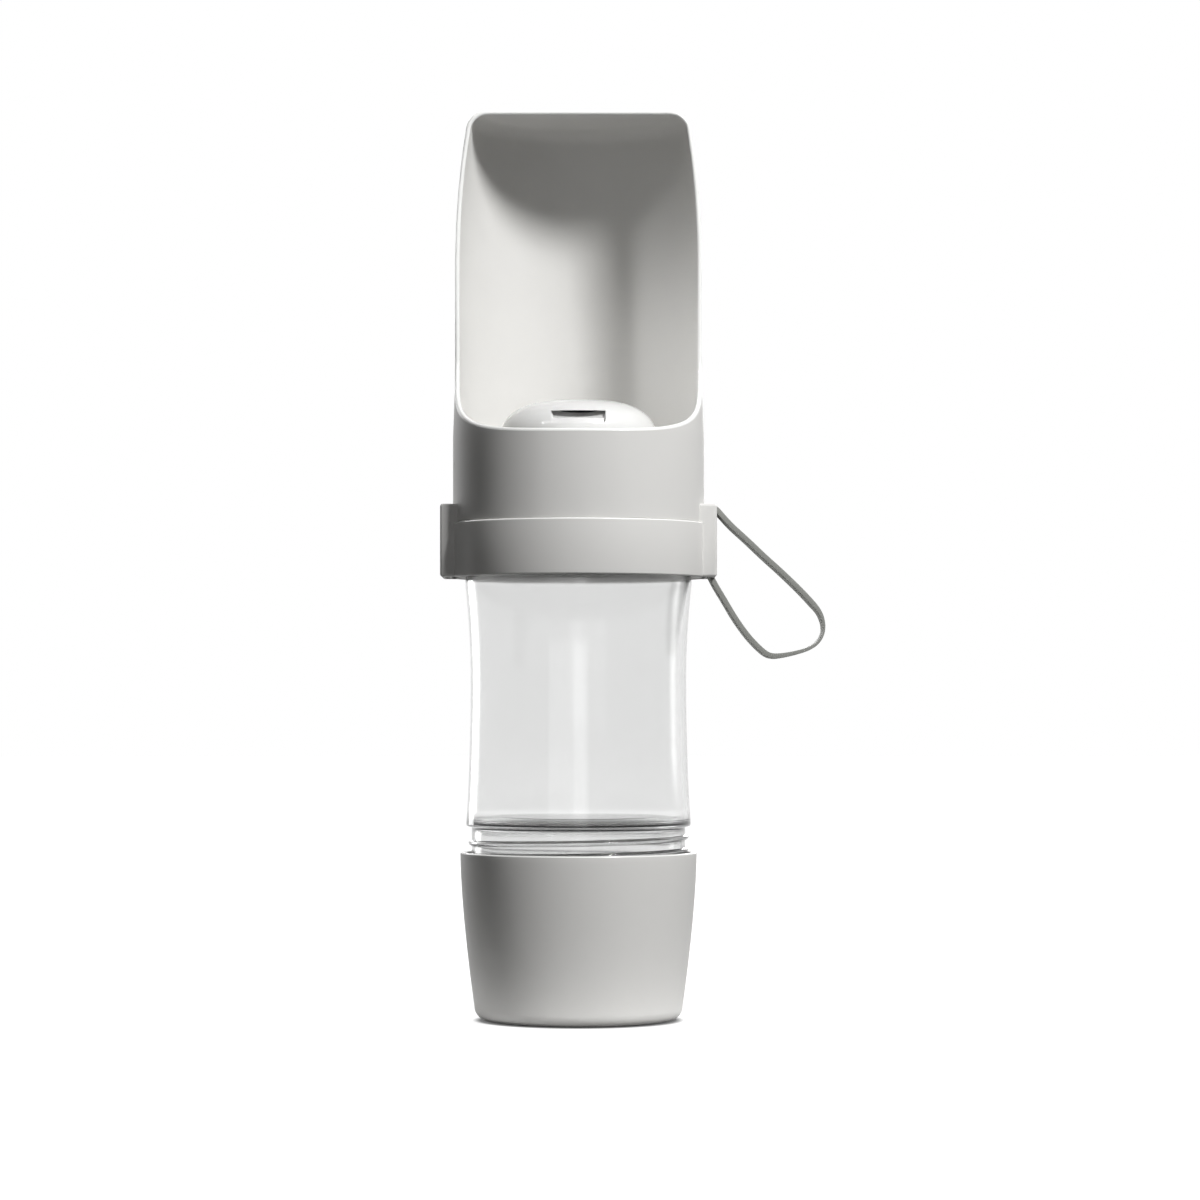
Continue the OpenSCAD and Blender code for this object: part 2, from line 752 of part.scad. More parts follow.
module push_rod() {
    color(WHITE)
        intersection() {
            along_button_axis(-2 * rod_r) cylinder(r = rod_r, h = rod_end_y + 2 * rod_r);
            above_cam_plane(cam_plane);
        }
}

module stem_spring() {
    low_z = hub_z + hub_t + spring_end_gap;
    color(METAL)
        translate([0, 0, low_z])
            coil(stem_spring_r, follower_low_z - spring_end_gap - low_z, stem_spring_curls, spring_wire);
}

module button_spring() {
    low_y = gland_end_y + spring_end_gap;
    color(METAL)
        along_button_axis(low_y)
            coil(button_spring_r, button_low_y - spring_end_gap - low_y, button_spring_curls, spring_wire);
}

module release_button() {
    body_len = button_face_y - button_low_y;
    color(WHITE)
        along_button_axis(button_low_y)
            difference() {
                union() {
                    cylinder(r = button_flange_r, h = button_flange_t);
                    cylinder(r = button_r, h = body_len);
                }
                translate([0, 0, -overrun]) cylinder(r = rod_r + running_gap, h = rod_socket + overrun);
                translate([0, 0, body_len + button_dish_r - button_dish_depth])
                    sphere(r = button_dish_r);
            }
}

module rod_seal() {
    color(SILICONE)
        along_button_axis(gland_y + gland_bore_len + ring_minor_r + running_gap)
            rotate_extrude()
                translate([rod_r + running_gap + ring_minor_r, 0]) circle(r = ring_minor_r, $fn = 24);
}

module gland_cap() {
    color(WHITE)
        along_button_axis(gland_end_y - gland_cap_len)
            ring(gland_well_r - running_gap, rod_r + running_gap, 0, gland_cap_len);
}

module button_bezel() {
    color(PLASTIC)
        difference() {
            union() {
                along_button_axis(bezel_in_y) cylinder(r = bezel_r, h = bezel_face_y - bezel_in_y);
                difference() {
                    along_button_axis(bezel_in_y)
                        cylinder(r = bezel_flange_r, h = bezel_face_y - bezel_in_y);
                    translate([0, 0, step_z]) cylinder(r = trough_r + running_gap, h = tube_h);
                }
            }
            along_button_axis(bezel_in_y - overrun)
                cylinder(r = button_r + running_gap, h = bezel_face_y - bezel_in_y + 2 * overrun);
        }
}

module housing_screws() {
    screw_z = plate_z - screw_head_t;
    color(METAL)
        at_screws()
            difference() {
                union() {
                    translate([0, 0, screw_z]) cylinder(r = screw_head_r, h = screw_head_t);
                    translate([0, 0, screw_z]) cylinder(r = screw_r, h = screw_len);
                }
                for (turn = [0, 90])
                    rotate([0, 0, turn])
                        translate([-drive_len / 2, -drive_w / 2, screw_z - overrun])
                            cube([drive_len, drive_w, drive_depth + overrun]);
            }
}

// Turns an outline in X and Z into a band as wide as the strap
module strap_band() {
    translate([0, strap_w / 2, 0]) rotate([90, 0, 0]) linear_extrude(height = strap_w) children();
}

module carry_strap() {
    round_end = arc_points(exit_point, strap_t / 2, strap_t / 2, exit_angle - 90, exit_angle - 270,
                           strap_steps);
    far_end = loop_end + loop_end_overrun * unit(loop_end - loop_low);
    path = concat(
        [[exit_x, exit_z, exit_angle]],
        corner_points(exit_point, loop_far, loop_low, loop_far_r, 2 * strap_steps),
        corner_points(loop_far, loop_low, loop_end, loop_low_r, strap_steps),
        [concat(far_end, [atan2(far_end[1] - loop_low[1], far_end[0] - loop_low[0]) - 360])]
    );
    color(STRAP)
        strap_band()
            difference() {
                polygon(concat(band_outline(path, strap_t), round_end));
                translate([anchor_x - 4 * strap_t, loop_end_z]) square([8 * strap_t, 4 * strap_t]);
            }
}

module strap_anchor() {
    path = concat(
        [[anchor_x, anchor_low_z, 90]],
        [for (i = [0:strap_steps]) let (h = 90 + (exit_angle - 90) * i / strap_steps)
            [
                anchor_x + anchor_bend_r * (1 - sin(h)),
                anchor_bend_z + anchor_bend_r * cos(h),
                h
            ]]
    );
    color(STRAP)
        strap_band()
            difference() {
                polygon(band_outline(path, strap_t));
                translate(exit_point) circle(r = strap_t / 2 + knuckle_gap, $fn = 32);
            }
}

bottle_body();
food_cup();
food_cup_seal();
trough_shell();
collar_ring();
outlet_dome();
neck_cap();
neck_gasket();
chamber_seal();
valve_stem();
valve_stopper();
stopper_washer();
cam_follower();
stem_spring();
release_button();
push_rod();
rod_seal();
gland_cap();
button_spring();
button_bezel();
housing_screws();
carry_strap();
strap_anchor();
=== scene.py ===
from math import acos, asin, atan2, cos, pi, radians, sin, sqrt, tan

import bmesh
import bpy
from bpy.props import FloatProperty, FloatVectorProperty, IntProperty, PointerProperty
from mathutils import Matrix, Vector


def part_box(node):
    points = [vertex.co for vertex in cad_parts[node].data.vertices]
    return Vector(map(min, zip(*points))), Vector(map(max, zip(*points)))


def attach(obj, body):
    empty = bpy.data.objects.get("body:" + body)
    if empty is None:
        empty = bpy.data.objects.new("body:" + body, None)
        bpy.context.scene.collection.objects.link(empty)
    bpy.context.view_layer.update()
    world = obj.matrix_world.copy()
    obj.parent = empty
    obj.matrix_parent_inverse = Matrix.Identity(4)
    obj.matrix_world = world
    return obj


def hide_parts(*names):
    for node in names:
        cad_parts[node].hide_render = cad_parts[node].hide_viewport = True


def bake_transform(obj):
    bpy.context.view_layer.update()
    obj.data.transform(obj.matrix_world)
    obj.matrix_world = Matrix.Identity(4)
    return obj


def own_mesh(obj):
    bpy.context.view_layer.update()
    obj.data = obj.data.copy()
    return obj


bl_info = {
    "name": "Dog travel bottle",
    "version": (1, 0, 0),
    "blender": (4, 5, 0),
    "location": "View3D > Sidebar > Bottle",
    "description": "Dresses a dog's travel bottle with its trough, food cup and strap",
    "category": "Object",
}

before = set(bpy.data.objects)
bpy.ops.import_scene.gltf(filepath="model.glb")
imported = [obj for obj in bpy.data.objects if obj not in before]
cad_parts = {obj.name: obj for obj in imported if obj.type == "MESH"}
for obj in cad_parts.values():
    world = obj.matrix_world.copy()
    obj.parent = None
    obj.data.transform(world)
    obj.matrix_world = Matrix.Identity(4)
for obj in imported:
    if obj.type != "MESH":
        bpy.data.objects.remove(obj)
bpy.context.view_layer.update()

MM = 0.001

# What the frame says about the main pieces
cup_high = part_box("food_cup")[1]
bottle_low, bottle_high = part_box("bottle_body")
trough_low, trough_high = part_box("trough_shell")
collar_low, collar_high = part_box("collar_ring")
dome_low, dome_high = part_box("outlet_dome")
anchor_low, anchor_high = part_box("strap_anchor")
button_low, button_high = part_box("release_button")
bezel_low, bezel_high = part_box("button_bezel")
floor_seal_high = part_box("chamber_seal")[1]

# Measures that several pieces share
button_z = (button_low[2] + button_high[2]) / 2
bezel_radius = 6.46 * MM
collar_bore = collar_high[1] - 1.9 * MM
strap_x = anchor_low[0] + 0.7 * MM  # middle of the strap where it passes through its slot


class BottleSizes(bpy.types.PropertyGroup):
    """Sizes that the frame doesn't give"""

    columns: IntProperty(
        name="Columns", description="Faces round a turned piece", default=192, min=48)
    cup_taper: FloatProperty(
        name="Cup taper", description="How much narrower the cup is at its foot",
        default=5.1 * MM, unit="LENGTH")
    cup_foot_round: FloatProperty(
        name="Cup foot rounding", description="Radius under the cup's foot",
        default=4.5 * MM, unit="LENGTH")
    cup_wall: FloatProperty(
        name="Cup wall", description="Wall of the cup at its rim",
        default=2.05 * MM, unit="LENGTH")
    cup_floor: FloatProperty(
        name="Cup floor", description="Thickness of the cup's floor",
        default=3 * MM, unit="LENGTH")
    cup_ledge: FloatProperty(
        name="Cup ledge", description="Depth of the seal's ledge below the rim",
        default=14.4 * MM, unit="LENGTH")
    thread_gap: FloatProperty(
        name="Thread gap", description="Threaded band above the cup's rim",
        default=8.2 * MM, unit="LENGTH")
    bottle_body: FloatProperty(
        name="Bottle body", description="Height of the clear body",
        default=77.2 * MM, unit="LENGTH")
    bottle_foot_radius: FloatProperty(
        name="Bottle foot", description="Radius at the body's lower edge",
        default=35.9 * MM, unit="LENGTH")
    bottle_waist_radius: FloatProperty(
        name="Bottle waist", description="Radius at the waist",
        default=34.35 * MM, unit="LENGTH")
    bottle_waist_up: FloatProperty(
        name="Waist height", description="Waist above the lower edge",
        default=46.2 * MM, unit="LENGTH")
    bottle_wall: FloatProperty(
        name="Bottle wall", description="Wall of the clear bottle",
        default=1.6 * MM, unit="LENGTH")
    punt_radius: FloatProperty(
        name="Raised floor", description="Radius of the flat, raised middle of the bottle's floor",
        default=25.5 * MM, unit="LENGTH")
    spigot_radius: FloatProperty(
        name="Spigot", description="Radius of the lower thread at its root",
        default=34.1 * MM, unit="LENGTH")
    neck_radius: FloatProperty(
        name="Neck", description="Radius of the neck at the thread's root",
        default=30.6 * MM, unit="LENGTH")
    neck_height: FloatProperty(
        name="Neck height", description="Neck above the shoulder",
        default=16 * MM, unit="LENGTH")
    thread_lead: FloatProperty(
        name="Thread lead", description="Rise of a thread in one turn",
        default=4 * MM, unit="LENGTH")
    thread_depth: FloatProperty(
        name="Thread depth", description="How far a ridge stands out",
        default=1 * MM, unit="LENGTH")
    scoop_radius: FloatProperty(
        name="Scoop", description="Radius of the scoop above the lip",
        default=39.4 * MM, unit="LENGTH")
    scoop_draw_in: FloatProperty(
        name="Scoop draw-in", description="How much the scoop narrows to its top",
        default=3.4 * MM, unit="LENGTH")
    scoop_wall: FloatProperty(
        name="Scoop wall", description="Wall of the scoop", default=1.5 * MM, unit="LENGTH")
    trough_wall: FloatProperty(
        name="Trough wall", description="Wall of the lower tube",
        default=1.8 * MM, unit="LENGTH")
    rim_forward: FloatProperty(
        name="Rim forward", description="How far the rim stands in front of the axis",
        default=0.5 * MM,
        unit="LENGTH")
    rim_curve: FloatProperty(
        name="Rim curve", description="Height of the rim's curved part",
        default=26 * MM, unit="LENGTH")
    collar_height: FloatProperty(
        name="Collar height", description="Height of the collar ring",
        default=17.3 * MM, unit="LENGTH")
    tube_height: FloatProperty(
        name="Tube height", description="Trough wall from collar to lip",
        default=27.5 * MM, unit="LENGTH")
    lug_width: FloatProperty(
        name="Lug width", description="Width of a lug", default=23.6 * MM, unit="LENGTH")
    strap_width: FloatProperty(
        name="Strap width", description="Width of the strap", default=13 * MM, unit="LENGTH")
    strap_thickness: FloatProperty(
        name="Strap thickness", description="Thickness of the strap",
        default=1.65 * MM, unit="LENGTH")
    strap_thin: FloatProperty(
        name="Strap's thin turn", description="Share of the thickness left at the loop's far turn",
        default=0.38,
        subtype="FACTOR")
    slot_width: FloatProperty(
        name="Outlet width", description="Width of the outlet slot",
        default=17 * MM, unit="LENGTH")
    spring_wire: FloatProperty(
        name="Spring wire", description="Wire of the two return springs",
        default=0.6 * MM, unit="LENGTH")
    slot_height: FloatProperty(
        name="Outlet height", description="Height of the outlet slot",
        default=2.4 * MM, unit="LENGTH")


class BottleColours(bpy.types.PropertyGroup):
    """Colours of the finishes"""

    grey: FloatVectorProperty(
        name="Grey plastic", description="Moulded shell, collar and cup", subtype="COLOR",
        default=(0.7, 0.694, 0.676))
    # Paler than the grey: this colour paints the highlight that the polished rims catch, while
    # their gloss is real
    rim: FloatVectorProperty(
        name="Rim", description="Polished rims of the grey parts", subtype="COLOR",
        default=(0.9, 0.9, 0.885))
    white: FloatVectorProperty(
        name="White plastic", description="Outlet dome and valve parts", subtype="COLOR",
        default=(0.76, 0.76, 0.752))
    clear: FloatVectorProperty(
        name="Clear plastic", description="Tint of the bottle", subtype="COLOR",
        default=(0.85, 0.852, 0.85))
    silicone: FloatVectorProperty(
        name="Silicone", description="Seals and stopper", subtype="COLOR", default=(0.7, 0.7, 0.68))
    steel: FloatVectorProperty(
        name="Steel", description="Springs and screws", subtype="COLOR", default=(0.6, 0.6, 0.62))
    strap: FloatVectorProperty(
        name="Strap", description="Carry strap", subtype="COLOR", default=(0.305, 0.31, 0.29))


def sizes():
    return bpy.context.scene.bottle_sizes


def colours():
    return bpy.context.scene.bottle_colours


# Outlines and meshes

def arc(centre, radius_x, radius_y, start, end, steps):
    """Points of an elliptic arc, with its angles in degrees."""
    points = []
    for i in range(steps + 1):
        a = radians(start + (end - start) * i / steps)
        points.append((centre[0] + radius_x * cos(a), centre[1] + radius_y * sin(a)))
    return points


def rounded_path(corners, closed=True, steps=6):
    """Points of a polyline whose corners (x, y, radius) are rounded."""
    points = []
    count = len(corners)
    for i, (x, y, radius) in enumerate(corners):
        here = Vector((x, y))
        if radius <= 0 or (not closed and i in (0, count - 1)):
            points.append(here)
            continue
        back = (Vector(corners[i - 1][:2]) - here).normalized()
        ahead = (Vector(corners[(i + 1) % count][:2]) - here).normalized()
        half = acos(max(-1, min(1, back.dot(ahead)))) / 2
        centre = here + (back + ahead).normalized() * radius / sin(half)
        first = here + back * radius / tan(half) - centre
        last = here + ahead * radius / tan(half) - centre
        a0 = atan2(first.y, first.x)
        sweep = atan2(first.x * last.y - first.y * last.x, first.dot(last))
        for s in range(steps + 1):
            a = a0 + sweep * s / steps
            points.append(centre + Vector((cos(a), sin(a))) * radius)
    return points


def denser(points, longest):
    """The open outline again, with its long stretches parted."""
    result = [points[0]]
    for a, b in zip(points, points[1:]):
        parts = max(1, round((b - a).length / longest))
        result += [a.lerp(b, i / parts) for i in range(1, parts + 1)]
    return result


def smooth(mesh, crease=40):
    """Shades a mesh smooth, with sharp edges where it turns by more than the crease, in degrees."""
    mesh.shade_smooth()
    mesh.set_sharp_from_angle(angle=radians(crease))


def mesh_object(name, points, faces):
    """A smooth mesh with doubled points merged and its normals outwards."""
    mesh = bpy.data.meshes.new(name)
    mesh.from_pydata([tuple(p) for p in points], [], faces)
    work = bmesh.new()
    work.from_mesh(mesh)
    bmesh.ops.remove_doubles(work, verts=work.verts, dist=1e-6)
    bmesh.ops.dissolve_degenerate(work, edges=work.edges, dist=1e-7)
    bmesh.ops.recalc_face_normals(work, faces=work.faces)
    work.to_mesh(mesh)
    work.free()
    smooth(mesh)
    piece = bpy.data.objects.new(name, mesh)
    bpy.context.collection.objects.link(piece)
    return piece


def grid_faces(rows, columns, wrap_rows=False, wrap_columns=False):
    """Quads of a grid of points listed row by row."""
    faces = []
    for r in range(rows if wrap_rows else rows - 1):
        for c in range(columns if wrap_columns else columns - 1):
            r1, c1 = (r + 1) % rows, (c + 1) % columns
            faces.append((r * columns + c, r * columns + c1, r1 * columns + c1, r1 * columns + c))
    return faces


def ring(radius, z, angles):
    """Points round the Z axis at some angles."""
    return [(radius * cos(a), radius * sin(a), z) for a in angles]


def turned(name, outline, closed=True, axis_point=None):
    """Turns an outline of (radius, height) about the Z axis, or about +Y through axis_point."""
    count = sizes().columns
    angles = [2 * pi * c / count for c in range(count)]
    points = [point for radius, height in outline for point in ring(radius, height, angles)]
    if axis_point:
        x, y, z = axis_point
        points = [(x + across, y + height, z + up) for across, up, height in points]
    faces = grid_faces(len(outline), count, wrap_rows=closed, wrap_columns=True)
    return mesh_object(name, points, faces)


def swept_ridge(name, root_radius, end_angle, end_height, turns):
    """A helical thread ridge that runs down from its end and fades at both ends."""
    a_turn, fade, section = 96, 14, 8
    sunk, root_width, crest_width = 0.35 * MM, 1.9 * MM, 1.3 * MM
    depth, lead = sizes().thread_depth, sizes().thread_lead
    steps = round(turns * a_turn)
    points = []
    for i in range(steps + 1):
        a = end_angle - 2 * pi * turns * (1 - i / steps)
        z = end_height - lead * turns * (1 - i / steps)
        share = min(1.0, (min(i, steps - i) + 0.5) / fade)
        rise = depth * sin(share * pi / 2)
        for s in range(section + 1):
            t = s / section * 2 - 1
            swell = (1 - abs(t) ** 2.6) ** 0.6
            width = crest_width + (root_width - crest_width) * abs(t)
            radius = root_radius - (sunk if s in (0, section) else 0) + rise * swell
            up = t * width / 2 * (0.4 + 0.6 * share)
            points.append((radius * cos(a), radius * sin(a), z + up))
    return swept(name, points, section + 1)


def swept(name, points, columns):
    """An open sweep of closed sections, with a face over each end."""
    rows = len(points) // columns
    faces = grid_faces(rows, columns, wrap_columns=True)
    faces.append(tuple(range(columns)))
    faces.append(tuple((rows - 1) * columns + k for k in reversed(range(columns))))
    return mesh_object(name, points, faces)


def apply_modifiers(piece):
    depsgraph = bpy.context.evaluated_depsgraph_get()
    mesh = bpy.data.meshes.new_from_object(piece.evaluated_get(depsgraph))
    piece.modifiers.clear()
    piece.data = mesh


def boolean_cut(piece, cutter, crease=40):
    """Cuts the cutter from the piece for good, drops the cutter and shades the piece again."""
    cut = piece.modifiers.new("cut", "BOOLEAN")
    cut.operation = "DIFFERENCE"
    cut.solver = "EXACT"
    cut.object = cutter
    apply_modifiers(piece)
    bpy.data.objects.remove(cutter)
    smooth(piece.data, crease)


def soften_edges(piece, width, segments=3):
    bevel = piece.modifiers.new("soft edges", "BEVEL")
    bevel.width = width
    bevel.segments = segments
    bevel.limit_method = "ANGLE"
    bevel.angle_limit = radians(40)
    apply_modifiers(piece)


def polish_edge_with_painted_highlight(piece, radius, height):
    """Gives a turned piece's rounded edge at a radius and height the polished finish. Its gloss is
    real, and its paler colour paints a highlight along the edge.
    """
    reach = 0.7 * MM
    piece.data.materials.append(finish("polished_rim_painted_highlight"))
    for face in piece.data.polygons:
        x, y, z = face.center
        rounded = 0.2 <= abs(face.normal.z) <= 0.97
        if rounded and abs(sqrt(x * x + y * y) - radius) < reach and abs(z - height) < reach:
            face.material_index = 1


def coil(name, low, high, turns, along_y):
    """A round-wire spring that fills a box, along Z or along Y."""
    wire_round = sizes().spring_wire / 2
    lengthways = 1 if along_y else 2
    radius = (high[0] - low[0]) / 2 - wire_round
    mid_x, mid_y, mid_z = [(a + b) / 2 for a, b in zip(low, high)]
    start, end = low[lengthways] + wire_round, high[lengthways] - wire_round
    a_turn, section = 32, 12
    steps = a_turn * turns
    slope = atan2(end - start, 2 * pi * radius * turns)
    points = []
    for i in range(steps + 1):
        a = 2 * pi * i / a_turn
        along = start + (end - start) * i / steps
        for k in range(section):
            b = 2 * pi * k / section
            out, up = radius + wire_round * cos(b), wire_round * sin(b)
            x = mid_x + out * cos(a) + up * sin(slope) * sin(a)
            y = out * sin(a) - up * sin(slope) * cos(a)
            z = along + up * cos(slope)
            points.append((x, z, mid_z + y) if along_y else (x, mid_y + y, z))
    return swept(name, points, section)


def box_mesh(name, low, high):
    points = [(x, y, z) for z in (low[2], high[2]) for y in (low[1], high[1])
              for x in (low[0], high[0])]
    faces = [(0, 1, 3, 2), (4, 6, 7, 5), (0, 4, 5, 1), (2, 3, 7, 6), (0, 2, 6, 4), (1, 5, 7, 3)]
    return mesh_object(name, points, faces)


def dress(piece, body, slot, *replaced):
    """Gives a piece its slot's finish and its body, and hides the nodes that it stands for."""
    piece.data.materials.clear()
    piece.data.materials.append(finish(SLOT_FINISH[slot]))
    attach(piece, body)
    if replaced:
        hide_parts(*replaced)


# Finishes

SLOT_FINISH = {
    "grey_plastic": "satin_grey", "white_plastic": "gloss_white", "silicone": "soft_silicone",
    "spring_steel": "bright_steel", "strap_rubber": "matt_strap", "clear_plastic": "clear_body",
}

# Of each finish: colour, how much paler its edges wear, clouding, edge wear, roughness and its
# spread, the grain's scale and bump, and the shader's other sockets
FINISHES = {
    "satin_grey": (
        "grey", 0.35, 0.035, 0.5, 0.58, 0.06, 1400.0, 0.04, {"Specular IOR Level": 0.22}),
    # The polished rims: real gloss, with a paler colour that paints their highlight
    "polished_rim_painted_highlight": (
        "rim", 0.35, 0.02, 0.3, 0.22, 0.06, 900.0, 0.02, {"Specular IOR Level": 0.6}),
    "gloss_white": (
        "white", 0.5, 0.02, 0.3, 0.2, 0.08, 500.0, 0.02,
        {"Specular IOR Level": 0.5, "Coat Weight": 0.3}),
    "soft_silicone": (
        "silicone", 0.3, 0.05, 0.2, 0.5, 0.1, 800.0, 0.05, {"Specular IOR Level": 0.35}),
    "bright_steel": (
        "steel", 0.3, 0.08, 0.4, 0.28, 0.12, 1200.0, 0.03, {"Metallic": 1.0}),
    "matt_strap": (
        "strap", 0.25, 0.04, 0.2, 0.65, 0.1, 1200.0, 0.015, {"Specular IOR Level": 0.15}),
    "clear_body": (
        "clear", 0.6, 0.02, 0.0, 0.08, 0.02, 300.0, 0.01,
        {"IOR": 1.45, "Transmission Weight": 1.0}),
}


def new_group(name, inputs, outputs):
    """A shader node group with its sockets; returns its tree, input node and output node."""
    tree = bpy.data.node_groups.new(name, "ShaderNodeTree")
    for label, kind, default in inputs:
        socket = tree.interface.new_socket(name=label, in_out="INPUT", socket_type=kind)
        socket.default_value = default
    for label, kind in outputs:
        tree.interface.new_socket(name=label, in_out="OUTPUT", socket_type=kind)
    return tree, tree.nodes.new("NodeGroupInput"), tree.nodes.new("NodeGroupOutput")


def add(tree, kind, **settings):
    """Adds a node; settings are its own properties, or sockets when the key starts with in_."""
    node = tree.nodes.new(kind)
    for key, value in settings.items():
        if key.startswith("in_"):
            label = key[3:]
            node.inputs[int(label) if label.isdigit() else label].default_value = value
        else:
            setattr(node, key, value)
    return node


def wire(tree, *links):
    """Links sockets, each link given as (node, output, node, input)."""
    for source, output, target, socket in links:
        tree.links.new(source.outputs[output], target.inputs[socket])


def grain_group():
    """Fine moulded texture: a height for bumps."""
    tree, given, result = new_group(
        "moulded_grain",
        [("Scale", "NodeSocketFloat", 900.0), ("Coarse Share", "NodeSocketFloat", 0.3)],
        [("Height", "NodeSocketFloat")])
    place = add(tree, "ShaderNodeTexCoord")
    fine = add(tree, "ShaderNodeTexNoise", in_Detail=2.0, in_Roughness=0.55)
    coarse = add(tree, "ShaderNodeTexNoise", in_Scale=55.0, in_Detail=3.0)
    mix = add(tree, "ShaderNodeMix")
    wire(tree,
         (place, "Object", fine, "Vector"), (place, "Object", coarse, "Vector"),
         (given, "Scale", fine, "Scale"), (given, "Coarse Share", mix, 0),
         (fine, "Fac", mix, 2), (coarse, "Fac", mix, 3), (mix, 0, result, "Height"))
    return tree


def tone_group():
    """Slight clouding of a colour and of its roughness, with paler worn edges."""
    tree, given, result = new_group(
        "surface_tone",
        [("Colour", "NodeSocketColor", (0.8, 0.8, 0.8, 1)),
         ("Worn Colour", "NodeSocketColor", (0.9, 0.9, 0.9, 1)),
         ("Clouding", "NodeSocketFloat", 0.05), ("Edge Wear", "NodeSocketFloat", 0.3),
         ("Roughness", "NodeSocketFloat", 0.4), ("Roughness Spread", "NodeSocketFloat", 0.08)],
        [("Colour", "NodeSocketColor"), ("Roughness", "NodeSocketFloat")])
    place = add(tree, "ShaderNodeTexCoord")
    geometry = add(tree, "ShaderNodeNewGeometry")
    cloud = add(tree, "ShaderNodeTexNoise", in_Scale=24.0, in_Detail=4.0, in_Roughness=0.6)
    smear = add(tree, "ShaderNodeTexNoise", in_Scale=70.0, in_Detail=3.0, in_Roughness=0.5)
    keep = add(tree, "ShaderNodeMath", operation="SUBTRACT", in_0=1.0)
    darken = add(tree, "ShaderNodeMapRange", in_1=0.3, in_2=0.7, in_3=1.0)
    shade = add(tree, "ShaderNodeVectorMath", operation="SCALE")
    edge = add(tree, "ShaderNodeMapRange", in_1=0.52, in_2=0.62)
    worn = add(tree, "ShaderNodeMath", operation="MULTIPLY")
    mix = add(tree, "ShaderNodeMix", data_type="RGBA")
    centred = add(tree, "ShaderNodeMath", operation="SUBTRACT", in_1=0.5)
    swing = add(tree, "ShaderNodeMath", operation="MULTIPLY_ADD")
    wire(tree,
         (place, "Object", cloud, "Vector"), (place, "Object", smear, "Vector"),
         (given, "Clouding", keep, 1), (cloud, "Fac", darken, 0), (keep, 0, darken, 4),
         (given, "Colour", shade, 0), (darken, 0, shade, "Scale"),
         (geometry, "Pointiness", edge, 0), (edge, 0, worn, 0), (given, "Edge Wear", worn, 1),
         (worn, 0, mix, 0), (shade, 0, mix, 6), (given, "Worn Colour", mix, 7),
         (mix, 2, result, "Colour"),
         (smear, "Fac", centred, 0), (centred, 0, swing, 0),
         (given, "Roughness Spread", swing, 1), (given, "Roughness", swing, 2),
         (swing, 0, result, "Roughness"))
    return tree


def shared_group(build, name):
    return bpy.data.node_groups.get(name) or build()


def finish(name):
    """A plastic, rubber or metal finish with clouded colour, worn edges and moulded grain."""
    if name in bpy.data.materials:
        return bpy.data.materials[name]
    tint, paler, clouding, edge_wear, roughness, spread, grain, bump, sockets = FINISHES[name]
    colour = getattr(colours(), tint)
    material = bpy.data.materials.new(name)
    material.use_nodes = True
    tree = material.node_tree
    shader = tree.nodes["Principled BSDF"]
    for label, value in sockets.items():
        shader.inputs[label].default_value = value
    tone = add(tree, "ShaderNodeGroup", node_tree=shared_group(tone_group, "surface_tone"))
    for label, value in (("Colour", (*colour, 1)),
                         ("Worn Colour", (*(c + (1 - c) * paler for c in colour), 1)),
                         ("Clouding", clouding), ("Edge Wear", edge_wear),
                         ("Roughness", roughness), ("Roughness Spread", spread)):
        tone.inputs[label].default_value = value
    texture = add(tree, "ShaderNodeGroup", node_tree=shared_group(grain_group, "moulded_grain"))
    texture.inputs["Scale"].default_value = grain
    height = add(tree, "ShaderNodeBump", in_Strength=bump, in_Distance=0.2 * MM)
    wire(tree,
         (tone, "Colour", shader, "Base Color"), (tone, "Roughness", shader, "Roughness"),
         (texture, "Height", height, "Height"), (height, "Normal", shader, "Normal"))
    return material


# Food cup and clear bottle

def plain(points):
    """Corners for rounded_path that stay as they are."""
    return [(x, y, 0) for x, y in points]


def cup_radius(z):
    """Outer radius of the food cup at a height."""
    curve_end = cup_high[2] * 0.97
    return cup_high[0] - sizes().cup_taper * max(0.0, 1 - z / curve_end) ** 1.5


class BOTTLE_OT_food_cup(bpy.types.Operator):
    """Turns the food cup with its rounded foot and ledge"""

    bl_idname = "bottle.food_cup"
    bl_label = "Food cup"

    def execute(self, context):
        s = sizes()
        top, foot = cup_high[2], s.cup_foot_round
        foot_radius = cup_radius(foot)
        bore = cup_high[0] - s.cup_wall
        ledge_z, ledge_width = top - s.cup_ledge, 2.2 * MM
        foot_wall, floor_round = 2.2 * MM, 2.2 * MM
        steps = 24
        heights = [foot + (top - foot) * i / steps for i in range(1, steps)]
        corners = plain([(0, 0)] + arc((foot_radius - foot, foot), foot, foot, -90, 0, 10))
        corners += plain((cup_radius(z), z) for z in heights)
        corners += [
            (cup_high[0], top, 0.5 * MM),
            (bore, top, 0.7 * MM),
            (bore, ledge_z, 0.3 * MM),
            (bore - ledge_width, ledge_z, 0.3 * MM),
            (foot_radius - foot_wall, s.cup_floor, floor_round),
            (0, s.cup_floor, 0),
        ]
        cup = turned("food_cup_shell", rounded_path(corners, closed=False))
        dress(cup, "cup", "grey_plastic", "food_cup")
        # The rim's polished finish is paler than the grey, which paints a highlight along it
        polish_edge_with_painted_highlight(cup, cup_high[0], top)
        return {"FINISHED"}


def bottle_radius(z):
    """Outer radius of the clear body at a height."""
    s = sizes()
    foot_z = cup_high[2] + s.thread_gap
    waist_z = foot_z + s.bottle_waist_up
    if z < waist_z:
        end_radius, end_z = s.bottle_foot_radius, foot_z
    else:
        end_radius, end_z = bottle_high[0], foot_z + s.bottle_body
    share = (z - waist_z) / (end_z - waist_z)
    return s.bottle_waist_radius + (end_radius - s.bottle_waist_radius) * share ** 2


